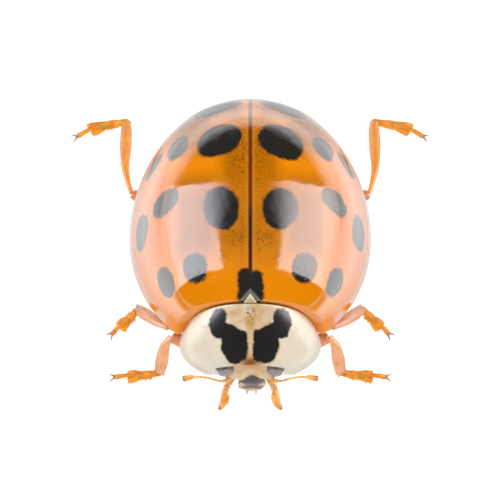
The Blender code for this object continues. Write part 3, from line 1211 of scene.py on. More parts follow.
@dataclass
class Pronotum:
    """The shield behind the head: an arch that narrows and drops forwards, with white side lobes."""

    rear: float = BASE_Y - 0.025
    length: float = 1.245
    half_width: float = 1.665
    widest: float = -2.76
    pinch: float = 0.075
    nose: float = 0.5
    taper: float = 0.99
    roundness: tuple[float, float] = (2.15, 0.465)
    top: float = 2.09
    slope: tuple[float, float] = (0.70, 0.26)
    edge: tuple[float, float] = (0.30, 0.20)
    lobe: float = 0.062
    rim_flare: float = 0.035
    rear_roll: float = 0.04
    lip: float = 0.05
    wall: float = 0.16
    columns: int = 132
    rows: int = 44

    def half(self, y: float) -> float:
        """Half the width there.

        Args:
            y: How far back.

        Returns:
            The half width in millimetres.
        """
        if y > self.widest:
            return self.half_width - self.pinch * ((y - self.widest) / 0.3) ** 2
        share = min(1.0, (self.widest - y) / self.taper)
        inner, outer = self.roundness
        return mix(self.nose, self.half_width, (1.0 - share**inner) ** outer)

    def skin(self, around: float, along: float, inset: float = 0.0) -> Vector:
        """A point of the arch, by its angle from the crest and its share of the length from the rear.

        Args:
            around: The angle from the crest, in radians.
            along: The share of the length, 0 at the rear.
            inset: How far inside the surface, in millimetres.

        Returns:
            The point in the body frame.
        """
        # The front border runs further forward beside each eye.
        turn = abs(math.degrees(around))
        along += self.lobe * smoothstep(51.0, 61.0, turn) * smoothstep(100.0, 70.0, turn) * along**3
        x = (self.half(self.rear - self.length * along) - inset) * math.sin(around)
        crest = self.top - self.slope[0] * along - self.slope[1] * along**2 - inset
        edge = self.edge[0] + self.edge[1] * along
        z = edge + (crest - edge) * math.cos(around)
        x += math.copysign(bell(z - edge, 0.12) * self.rim_flare, x) if turn > 20.0 else 0.0
        y = self.rear - self.length * along + (base_line(x) - BASE_Y) * max(0.0, 1.0 - along)
        return Vector((x, y, z))

    def mesh(self) -> bmesh.types.BMesh:
        """Builds the shield as one closed sheet: over the top, round the front border, and back beneath.

        Returns:
            The mesh, with what the finish reads.
        """
        top_rows, lip_rows = self.rows, 6

        def place(column: int, row: int) -> Vector:
            """Puts one corner of the sheet on the top, round the border or beneath.

            Args:
                column: The column of the grid.
                row: Its row.

            Returns:
                The corner's place.
            """
            share = column / self.columns
            around = (share - 0.5) * math.pi
            thin = self.wall * (0.15 + 0.85 * max(0.0, math.cos(around)) ** 0.5)
            if row <= top_rows:
                along = row / top_rows
                point = self.skin(around, along)
                point.z -= self.rear_roll * max(0.0, 1.0 - row / 2.0) ** 2
                return point
            if row <= top_rows + lip_rows:
                bend = (row - top_rows) / lip_rows * math.pi
                start = self.skin(around, 1.0)
                end = self.skin(around, 1.0, min(thin, self.lip))
                middle = (start + end) / 2
                out = start - middle
                return middle + out * math.cos(bend) + Vector((0, -self.lip / 2, 0)) * math.sin(bend)
            along = 1.0 - (row - top_rows - lip_rows) / (self.rows // 2)
            return self.skin(around, along, mix(thin, min(thin, self.lip), smoothstep(0.7, 1.0, along)))

        total = top_rows + lip_rows + self.rows // 2
        mesh = sheet(self.columns, total, place)
        rim = [edge for edge in mesh.edges if edge.is_boundary]
        bmesh.ops.holes_fill(mesh, edges=rim, sides=0)
        loose = [face for face in mesh.faces if len(face.verts) > 4]
        bmesh.ops.triangulate(mesh, faces=loose)
        self.paint(mesh)
        return mesh

    def paint(self, mesh: bmesh.types.BMesh) -> None:
        """Stores the marks and tints.

        Args:
            mesh: The shield.
        """
        lifted = [(self.lift(blob.x, blob.y), blob.radius) for blob in MARK]

        def mark(co: Vector) -> float:
            """The distance to the black marks in millimetres, negative inside."""
            here = Vector((abs(co.x), co.y, co.z))
            return chain_distance(here, lifted) + 0.04 * noise.noise(co * 3.4 + Vector((3, 1, 7)))

        def tan(co: Vector) -> float:
            """Where the cream turns tan.

            Args:
                co: A place in the body frame.

            Returns:
                The share of tan: a field at the rear, a strip and the front border.
            """
            x = abs(co.x)
            rear_field = smoothstep(0.80, 0.62, x + 0.55 * (self.rear - co.y))
            rear_field *= smoothstep(-3.05, -2.85, co.y) * (0.55 + 0.5 * noise.noise(co * 5.0))
            strip = 0.6 * smoothstep(0.16, 0.06, x) * smoothstep(-2.66, -2.74, co.y)
            front = 0.9 * bell(Vector((x * 0.26, co.y + 3.62)).length, 0.12)
            return min(1.0, rear_field + strip + front) * (co.z > 0.6)

        def stain(co: Vector) -> float:
            """Brown where the strip meets the front border.

            Args:
                co: A place in the body frame.

            Returns:
                The share of brown.
            """
            away = Vector((co.x * 0.42, co.y + 3.60)).length
            cloud = 0.3 * noise.noise(co * 9.0) * bell(away, 0.2)
            return min(1.0, 1.1 * bell(away, 0.085) + cloud)

        def freckle(co: Vector) -> float:
            """Where the freckles crowd.

            Args:
                co: A place in the body frame.

            Returns:
                How densely the freckles stand: a flower with its stem, and a few more.
            """
            x = abs(co.x)
            flower = 1.2 * bell(Vector((x, co.y + 2.63)).length - 0.09, 0.05)
            stem = 1.2 * bell(x, 0.045) * smoothstep(-2.98, -2.9, co.y) * smoothstep(-2.55, -2.65, co.y)
            faint = 0.5 * bell(Vector((x - 1.10, co.y + 2.82)).length, 0.08)
            base = 1.1 * bell(x, 0.2) * bell(co.y + 3.60, 0.07)
            return min(1.0, flower + stem + faint + base) * (co.z > 0.6)

        store(mesh, "mark", mark)
        store(mesh, "tan", tan)
        store(mesh, "stain", stain)
        store(mesh, "freckle", freckle)
        store(mesh, "border", lambda co: self.rear + base_line(co.x) - BASE_Y - co.y + 0.03 * co.x**2)

    def lift(self, x: float, y: float) -> Vector:
        """The point of the arch above a place seen from above.

        Args:
            x: Its place across.
            y: Its place along the body.

        Returns:
            The point of the surface.
        """
        along = (self.rear - y) / self.length
        around = math.asin(min(1.0, x / self.half(y)))
        z = self.skin(around, along).z
        return Vector((x, y, z))


# --- trunk and head -------------------------------------------------------------------------------


@dataclass(frozen=True)
class Trunk:
    """The underside: thorax plates in front and five overlapping belly plates behind."""

    inset: float = 0.53
    depth: float = 0.40
    waist: float = 0.35
    plates: tuple[float, ...] = (0.35, 1.25, 1.80, 2.30, 2.72, 3.05)
    plate_step: float = 0.055
    keel: float = 0.06
    groove: float = 0.03
    ridge: float = 0.06

    def step(self, y: float) -> float:
        """How far a belly plate stands proud there: most at its hind edge.

        Args:
            y: How far back.

        Returns:
            The height in millimetres.
        """
        for start, end in zip(self.plates, self.plates[1:]):
            if start <= y < end:
                return self.plate_step * ((y - start) / (end - start)) ** 2
        return 0.0

    def shape(self, unit: Vector) -> Vector:
        """Carries a point of the unit ball to the trunk.

        Args:
            unit: A point of the unit ball.

        Returns:
            The point of the surface.
        """
        x, y, z = unit
        front = DOME.front + DOME.crest * max(z, 0.0)
        reach = mix(front, DOME.rear, smoothstep(-0.25, 0.25, y)) - self.inset
        if z > 0:
            height = DOME.height - self.inset
            point = Vector(((DOME.half_width - self.inset) * x, reach * y, height * z))
        else:
            down = -abs(z) ** 0.7 * self.depth
            point = Vector(((DOME.half_width - self.inset) * x, reach * y, down))
            point.z -= self.step(point.y) * smoothstep(0.0, 0.35, abs(z))
            keel = bell(point.x, 0.35) * smoothstep(0.4, -0.2, point.y)
            groove = bell(point.x, 0.04) * smoothstep(0.3, 0.1, point.y) * smoothstep(-1.3, -1.1, point.y)
            point.z -= self.keel * keel - self.groove * groove
            point.z += self.ridge * bell(point.y - self.waist, 0.05)
        point.y = max(point.y, BASE_Y)
        return point

    def mesh(self) -> bmesh.types.BMesh:
        """Builds the trunk.

        Returns:
            The mesh.
        """
        mesh = globe(self.shape, 128, 150)
        store(mesh, "tip", self.edge)
        return mesh

    def edge(self, co: Vector) -> float:
        """Browner towards the outer edge, faintly under the thorax."""
        return smoothstep(0.55, 0.85, self.outline(co)) * (1.0 if co.y > self.waist else 0.2)

    def outline(self, co: Vector) -> float:
        """0 on the middle line, 1 at the outer edge.

        Args:
            co: A place in the body frame.

        Returns:
            The share.
        """
        reach = (DOME.rear if co.y > 0 else DOME.front) - self.inset
        across = co.x / (DOME.half_width - self.inset)
        return math.hypot(across, co.y / reach if co.y > 0 else 0.0)


@dataclass(frozen=True)
class Organ:
    """An egg-shaped part of the head: its middle, half sizes and squareness."""

    centre: tuple[float, float, float]
    semi: tuple[float, float, float]
    boxiness: float = 2.2

    def depth(self, point: Vector) -> float:
        """How far a point lies outside it, roughly, in millimetres.

        Args:
            point: The place.

        Returns:
            The distance, negative inside.
        """
        shares = ((abs(p - c) / s) ** self.boxiness for p, c, s in zip(point, self.centre, self.semi))
        return (sum(shares) ** (1 / self.boxiness) - 1.0) * min(self.semi)

    def mesh(self, side: Side = Side.LEFT, around: int = 56, along: int = 36) -> bmesh.types.BMesh:
        """Builds it on the given side."""
        return globe(ellipsoid(side.of(self.centre), self.semi, self.boxiness), around, along)


@dataclass(frozen=True)
class Head:
    """Head capsule, clypeus, labrum, mouthparts and eyes."""

    capsule: Organ = Organ((0.0, -3.17, 0.57), (0.76, 0.50, 0.55), 2.4)
    clypeus: Organ = Organ((0.0, -3.52, 0.52), (0.45, 0.34, 0.26), 2.3)
    cheek: Organ = Organ((0.46, -3.54, 0.37), (0.17, 0.20, 0.15), 2.0)
    eye: Organ = Organ((0.612, -3.57, 0.71), (0.21, 0.21, 0.27), 2.2)
    jaws: Organ = Organ((0.04, -3.754, 0.14), (0.335, 0.215, 0.13), 2.0)
    chin: Organ = Organ((0.0, -3.42, -0.04), (0.34, 0.30, 0.14), 2.4)
    lip: Organ = Organ((0.04, -3.800, 0.35), (0.315, 0.085, 0.09), 2.0)
    lip_peak: float = 0.165
    notch: float = 0.17
    fillet: float = 0.16
    heart: tuple[float, float, float] = (0.0, -3.30, 0.48)
    fringe_hairs: int = 46

    def depth(self, point: Vector) -> float:
        """How far a point lies outside the skull, with its parts run smoothly together.

        Args:
            point: The place.

        Returns:
            The distance in millimetres, roughly, and negative inside.
        """
        left = self.cheek_side(point)
        parts = [self.capsule.depth(point), self.clypeus.depth(point), self.cheek.depth(left)]
        least = min(parts)
        share = sum(math.exp((least - part) * 4.0 / self.fillet) for part in parts)
        return least - self.fillet / 4.0 * math.log(share)

    @staticmethod
    def cheek_side(point: Vector) -> Vector:
        """The same point carried to the left half."""
        return Vector((abs(point.x), point.y, point.z))

    def skull(self) -> bmesh.types.BMesh:
        """The capsule with the clypeus: a plate between the feelers, notched over the labrum.

        Returns:
            The mesh.
        """
        middle = Vector(self.heart)

        def carry(unit: Vector) -> Vector:
            """The point of the surface that way from the middle.

            Args:
                unit: A point of the unit ball.

            Returns:
                The point of the surface.
            """
            near, far = 0.1, 1.4
            while far - near > 1e-4:
                reach = (near + far) / 2
                near, far = (reach, far) if self.depth(middle + unit * reach) < 0.0 else (near, reach)
            point = middle + unit * near
            front = smoothstep(self.clypeus.centre[1] - 0.06, self.clypeus.centre[1] - 0.32, point.y)
            point.y += self.notch * front * bell(point.x - self.lip.centre[0], 0.19)
            return point

        mesh = globe(carry, 128, 96)
        store(mesh, "tip", lambda co: 0.7 * bell(co.x, 0.28) * smoothstep(0.66, 0.86, co.z))
        return mesh

    def labrum(self) -> bmesh.types.BMesh:
        """The upper lip: a dark lens-shaped plate, peaked behind and rounded in front.

        Returns:
            The mesh.
        """

        def carry(unit: Vector) -> Vector:
            """Carries a point of the unit ball to the plate.

            Args:
                unit: A point of the unit ball.

            Returns:
                The point of the plate.
            """
            power = 1.35 if unit.y > 0 else 1.5
            size = (abs(unit.x) ** power + abs(unit.y) ** power) ** (1 / power)
            spread = math.hypot(unit.x, unit.y) / size if size > 1e-9 else 1.0
            wide, reach, deep = self.lip.semi
            if unit.y > 0:
                reach = self.lip_peak
            along = Vector((wide * unit.x * spread, reach * unit.y * spread, deep * unit.z))
            along.z += 0.45 * max(0.0, along.y)
            return Vector(self.lip.centre) + along

        mesh = globe(carry, 64, 40)
        store(mesh, "tip", lambda co: 0.8 * smoothstep(0.22, 0.31, abs(co.x - self.lip.centre[0])))
        return mesh

    def mouth(self) -> bmesh.types.BMesh:
        """Below the labrum: jaws, and the small palps of the lower lip.

        Returns:
            The mesh.
        """
        points = []
        for side, x in ((Side.LEFT, 0.13), (Side.RIGHT, 0.07)):
            keys = [Key((x, -3.88, 0.06), 0.028, 0.026), Key((x + 0.005, -3.95, 0.03), 0.020, 0.018),
                    Key((x + 0.01, -4.01, 0.0), 0.006, 0.006)]
            points.append(Limb(keys, side=side, sides=12, rings=10).mesh())
        mesh = join([self.jaws.mesh(), self.chin.mesh(), *points])
        store(mesh, "tip", lambda co: 0.8 * bell(co.y + 3.90, 0.024))
        return mesh

    def fringe(self) -> bmesh.types.BMesh:
        """The row of hairs before the jaws.

        Returns:
            The mesh.
        """
        hairs = Hairs(seed=11, thickness=0.006)
        for i in range(self.fringe_hairs):
            angle = math.pi * (i + 0.5) / self.fringe_hairs
            root = Vector((-0.27 * math.cos(angle), -3.80 - 0.08 * math.sin(angle), 0.15))
            root.z += 0.02 * math.sin(i * 2.3)
            way = Vector((root.x * 0.5, -0.7, -0.55))
            hairs.plant(root, way, hairs.random.uniform(0.06, 0.11), i / self.fringe_hairs, 0.9)
        return hairs.mesh()

    def eyeball(self, side: Side) -> bmesh.types.BMesh:
        """A compound eye, set into the corner of the head.

        Args:
            side: Which.

        Returns:
            The mesh.
        """
        mesh = self.eye.mesh(side, 72, 48)
        # Painted shade: the rear of the eye under the pronotum's edge is near black.
        store(mesh, "tip", lambda co: smoothstep(-3.712, -3.685, co.y + 0.1 * (abs(co.x) - 0.6)))
        return mesh


@dataclass(frozen=True)
class Antenna:
    """A feeler of eleven joints: a stout first, a thin stalk and a club of three."""

    side: Side
    path: tuple[tuple[float, float, float], ...] = (
        (0.46, -3.72, 0.36),
        (0.70, -3.80, 0.37),
        (1.00, -3.75, 0.45),
        (1.30, -3.72, 0.46),
        (1.64, -3.75, 0.40),
    )
    joints: tuple[tuple[float, float, float], ...] = (
        (0.00, 0.15, 0.078),
        (0.15, 0.22, 0.042),
        (0.22, 0.32, 0.028),
        (0.32, 0.42, 0.026),
        (0.42, 0.52, 0.025),
        (0.52, 0.61, 0.025),
        (0.61, 0.70, 0.027),
        (0.70, 0.78, 0.031),
    )
    club: tuple[tuple[float, float], ...] = (
        (0.77, 0.030), (0.81, 0.048), (0.845, 0.062), (0.855, 0.060), (0.89, 0.068),
        (0.925, 0.070), (0.935, 0.068), (0.97, 0.066), (0.99, 0.055),
    )

    def along(self, share: float) -> tuple[float, float, float]:
        """A point of the feeler's middle line."""
        return tuple(spline([point[axis] for point in self.path], share) for axis in range(3))

    def parts(self) -> list[Limb]:
        """The joints, each widening towards its end.

        Returns:
            The stalk's joints, then the club.
        """
        made = []
        for start, end, radius in self.joints:
            keys = [
                Key(self.along(start), radius * 0.93, radius * 0.93),
                Key(self.along(mix(start, end, 0.6)), radius, radius * 0.92),
                Key(self.along(end + 0.006), radius * 0.86, radius * 0.8),
            ]
            made.append(Limb(keys, side=self.side, sides=14, rings=10))
        keys = [Key(self.along(share), radius, radius * 0.85) for share, radius in self.club]
        return made + [Limb(keys, side=self.side, sides=18, rings=36)]

    def mesh(self) -> bmesh.types.BMesh:
        """Builds all eleven.

        Returns:
            The mesh.
        """
        *stalk, club = self.parts()
        whole = [part.mesh() for part in stalk]
        return join(whole + [club.mesh(lambda share: 0.7 * smoothstep(0.55, 0.95, share))])


@dataclass(frozen=True)
class Palp:
    """A feeler of the jaw, with a hatchet-shaped last joint."""

    side: Side
    dark_end: tuple[float, float, float] = (0.76, -4.26, -0.30)

    def parts(self) -> list[Limb]:
        """Two slim joints and the hatchet, whose edge slants.

        Returns:
            The three.
        """
        first = [Key((0.42, -3.62, 0.20), 0.07, 0.06), Key((0.49, -3.71, 0.17), 0.09, 0.08),
                 Key((0.54, -3.80, 0.11), 0.085, 0.07)]
        second = [Key((0.545, -3.79, 0.11), 0.060, 0.055), Key((0.565, -3.845, 0.07), 0.074, 0.07),
                  Key((0.585, -3.90, 0.02), 0.072, 0.065)]
        hatchet = [Key((0.58, -3.885, 0.03), 0.060, 0.055), Key((0.61, -3.97, -0.03), 0.088, 0.07),
                   Key((0.605, -4.06, -0.10), 0.110, 0.072), Key((0.645, -4.15, -0.20), 0.094, 0.070),
                   Key((0.71, -4.23, -0.29), 0.066, 0.060), Key((0.75, -4.275, -0.34), 0.030, 0.035)]
        return [
            Limb(first, side=self.side, sides=16, rings=12),
            Limb(second, side=self.side, sides=16, rings=10),
            Limb(hatchet, side=self.side, sides=24, rings=22, blunt=0.8),
        ]

    def mesh(self) -> bmesh.types.BMesh:
        """Builds the palp with its dark slanting edge.

        Returns:
            The mesh.
        """
        whole = join([part.mesh() for part in self.parts()])
        end = Vector(self.dark_end)
        store(whole, "tip", lambda co: 0.85 * bell((Vector((abs(co.x), co.y, co.z)) - end).length, 0.085))
        return whole


# --- legs -----------------------------------------------------------------------------------------


@dataclass(frozen=True)
class LegPlan:
    """The joints of one left leg, and how stout its parts are.

    The shin bends by bow and has the half width shin, less at the knee by slim. The foot bends aside by sway,
    and lean carries the first lobe of its sole outwards.
    """

    name: str
    coxa: tuple[float, float, float]
    hip: tuple[float, float, float]
    knee: tuple[float, float, float]
    ankle: tuple[float, float, float]
    toe: tuple[float, float, float]
    bow: tuple[float, float, float]
    shin: float
    sway: float = 0.0
    slim: float = 1.0
    lean: float = 0.0


LEGS = (
    LegPlan("front", (0.45, -2.72, -0.36), (0.80, -2.74, -0.42), (1.90, -2.50, -0.17), (2.20, -3.07, -1.08),
            (3.30, -3.13, -1.26), (0.06, 0.03, 0.10), 0.145),
    LegPlan("mid", (0.70, -1.15, -0.42), (1.00, -1.28, -0.54), (1.96, -2.22, -0.22), (2.72, -1.44, -1.08),
            (3.36, -2.03, -1.26), (0.04, -0.05, 0.12), 0.14),
    LegPlan("hind", (0.70, 0.12, -0.42), (1.05, 0.22, -0.58), (2.87, 1.29, -0.38), (3.02, 3.41, -1.08),
            (4.23, 3.07, -1.26), (0.11, 0.02, 0.10), 0.130, 0.09, 0.75, 0.04),
)
# A shin: the share of its length, and of its greatest half width.
SHIN_GIRTHS = ((0.0, 0.60), (0.1, 0.60), (0.33, 0.85), (0.65, 1.08), (0.88, 0.98), (1.0, 0.74))
# A claw and its tooth: how far out and up from the root, and the radius.
CLAW_HOOK = ((0.0, 0.0, 0.026), (0.07, 0.025, 0.024), (0.13, 0.0, 0.017), (0.165, -0.055, 0.009),
             (0.17, -0.094, 0.002))
CLAW_TOOTH = ((0.02, -0.01, 0.018), (0.055, -0.03, 0.013), (0.07, -0.06, 0.003))


@dataclass
class Leg:
    """One leg: hip joints and thigh, shin, foot with two-lobed sole, and a pair of toothed claws."""

    plan: LegPlan
    side: Side

    @property
    def name(self) -> str:
        """What its nodes end with."""
        return f"{self.plan.name}_{self.side.label}"

    def thigh(self) -> list[Limb]:
        """Coxa, trochanter and femur.

        Returns:
            The hip joints, then the thigh.
        """
        plan = self.plan
        coxa, hip, knee = Vector(plan.coxa), Vector(plan.hip), Vector(plan.knee)
        middle, far = hip.lerp(knee, 0.5), hip.lerp(knee, 0.85)
        hip_joint = [Key(tuple(coxa + Vector((-0.1, 0, 0.05))), 0.20, 0.17), Key(tuple(coxa), 0.24, 0.20),
                     Key(tuple(coxa.lerp(hip, 0.6)), 0.19, 0.17)]
        thigh = [Key(tuple(hip.lerp(coxa, 0.5)), 0.11, 0.10), Key(tuple(hip.lerp(knee, 0.15)), 0.17, 0.14),
                 Key(tuple(middle), 0.21, 0.155), Key(tuple(far), 0.165, 0.13), Key(plan.knee, 0.115, 0.10)]
        return [Limb(hip_joint, side=self.side), Limb(thigh, side=self.side)]

    def upper(self) -> bmesh.types.BMesh:
        """The hip joints and thigh as one mesh, browner at the knee.

        Returns:
            The mesh.
        """
        mesh = join(part.mesh() for part in self.thigh())
        knee = self.side.of(self.plan.knee)
        store(mesh, "tip", lambda co: bell((co - knee).length, 0.16))
        return mesh

    def shin(self) -> Limb:
        """The tibia: narrow at the knee, widening to a cut-off end.

        Returns:
            The limb.
        """
        plan = self.plan
        knee, ankle, bow = Vector(plan.knee), Vector(plan.ankle), Vector(plan.bow)
        keys = []
        for share, stout in SHIN_GIRTHS:
            at = knee.lerp(ankle, share) + bow * (6.75 * share * (1 - share) ** 2)
            stout *= mix(plan.slim, 1.0, smoothstep(0.0, 0.65, share))
            keys.append(Key(tuple(at), plan.shin * stout, plan.shin * stout * 0.8))
        return Limb(keys, side=self.side, blunt=0.45)

    def ways(self) -> tuple[Vector, Vector]:
        """The level directions along the foot and across it.

        Returns:
            Both, of length 1.
        """
        ankle, toe = Vector(self.plan.ankle), Vector(self.plan.toe)
        flat = Vector((toe.x - ankle.x, toe.y - ankle.y, 0)).normalized()
        return flat, Vector((-flat.y, flat.x, 0))

    def foot(self) -> list[Limb]:
        """The tarsus: a wedge, a two-lobed joint, a hidden small one and the slim claw joint.

        Returns:
            The wedge, both lobes, the small joint and the claw joint.
        """
        ankle, toe = Vector(self.plan.ankle), Vector(self.plan.toe)
        flat, across = self.ways()
        span = math.hypot(toe.x - ankle.x, toe.y - ankle.y)

        def at(share: float, height: float, aside: float = 0.0) -> tuple[float, float, float]:
            """A place of the foot.

            Args:
                share: How far from the ankle to the toe.
                height: How far above the floor, in millimetres.
                aside: How far to the side.

            Returns:
                The place.
            """
            aside += self.plan.sway * math.sin(math.pi * min(1.0, max(0.0, share)))
            place = Vector((ankle.x, ankle.y, 0)) + flat * span * share + across * aside
            return place.x, place.y, FLOOR + height

        wedge = [Key(at(-0.05, 0.27), 0.070, 0.07), Key(at(0.10, 0.21), 0.085, 0.07),
                 Key(at(0.26, 0.16), 0.110, 0.075), Key(at(0.40, 0.13), 0.115, 0.07)]
        lobes = [
            [Key(at(0.36, 0.16, way * 0.03), 0.06, 0.06), Key(at(0.52, 0.12, way * 0.070), 0.080, 0.065),
             Key(at(0.64 + far, 0.09, way * 0.080 + far), 0.074, 0.055),
             Key(at(0.70 + far, 0.07, way * 0.09 + far), 0.05, 0.04)]
            for way, far in ((1, self.plan.lean), (-1, 0.0))
        ]
        bridge = [Key(at(0.36, 0.17), 0.08, 0.06), Key(at(0.47, 0.16), 0.10, 0.06),
                  Key(at(0.57, 0.14), 0.07, 0.05)]
        claw_joint = [Key(at(0.48, 0.15), 0.050, 0.045), Key(at(0.66, 0.20), 0.050, 0.045),
                      Key(at(0.84, 0.17), 0.058, 0.052), Key(at(0.98, 0.10), 0.064, 0.055)]
        joints = (wedge, *lobes, bridge, claw_joint)
        return [Limb(keys, side=self.side, sides=16, rings=14) for keys in joints]

    def claws(self) -> bmesh.types.BMesh:
        """Two hooked claws, each with a tooth near its root.

        Returns:
            The mesh.
        """
        flat, across = self.ways()
        start = Vector((self.plan.toe[0], self.plan.toe[1], FLOOR + 0.10)) - flat * 0.04
        parts = []
        for way in (1, -1):
            splay = flat * 0.85 + across * way * 0.55
            for spike, sides, rings in ((CLAW_HOOK, 10, 14), (CLAW_TOOTH, 8, 8)):
                keys = [Key(tuple(start + splay * out + Vector((0, 0, up))), r, r) for out, up, r in spike]
                parts.append(Limb(keys, side=self.side, sides=sides, rings=rings).mesh())
        return join(parts)

    def bristles(self, hairs: Hairs) -> None:
        """Plants the hairs of the shin's lower end and of the soles.

        Args:
            hairs: What they are added to.
        """
        shin = self.shin()
        hairs.cover(shin, 60, (0.35, 0.98), FULL_TURN, (0.05, 0.09), 1.0)
        hairs.cover(shin, 26, (0.90, 0.99), FULL_TURN, (0.07, 0.11), 1.6)
        wedge, first, second, _, claw_joint = self.foot()
        hairs.cover(wedge, 46, (0.45, 0.98), UNDERSIDE, (0.06, 0.10), 0.6)
        for lobe in (first, second):
            hairs.cover(lobe, 34, (0.3, 0.98), UNDERSIDE, (0.04, 0.07), 0.6)
        hairs.cover(claw_joint, 10, (0.5, 0.95), TOP, (0.05, 0.08), 1.0)


# --- studio ---------------------------------------------------------------------------------------


@dataclass(frozen=True)
class Panel:
    """A lit sheet bent about the body: an arch at one side, or a low wall all round."""

    name: str
    strength: float
    tint: str
    shape: SheetShape
    glow: Callable[[Vector], float]
    visible: bool = False
    soft: bool = True
    mirrored: bool = True
    cells: tuple[int, int] = (48, 64)

    def build(self) -> bpy.types.Object:
        """Adds the sheet. soft: it lights matt surfaces; mirrored: it shows in glossy ones.

        Returns:
            The sheet's object.
        """
        across, along = self.cells
        mesh = sheet(across, along, lambda column, row: self.shape(column / across, row / along))
        store(mesh, "glow", self.glow)
        mesh.transform(Matrix.Scale(MM, 4))
        data = bpy.data.meshes.new(self.name)
        mesh.to_mesh(data)
        mesh.free()
        graph = Graph(self.name + "_light")
        # Plain glowing cloth: it gives the eye broad, even patches of light in the gloss.
        strength = graph.add(Node.MULTIPLY, *graph.stored("glow"), self.strength)
        light = graph.add(Node.EMISSION, self.tint, strength)
        graph.give(graph.tree.nodes["Material Output"].inputs["Surface"], light)
        data.materials.append(graph.material)
        panel = bpy.data.objects.new(self.name, data)
        bpy.context.scene.collection.objects.link(panel)
        panel.visible_camera = self.visible
        panel.visible_shadow = False
        panel.visible_diffuse = self.soft
        panel.visible_glossy = self.mirrored
        return panel


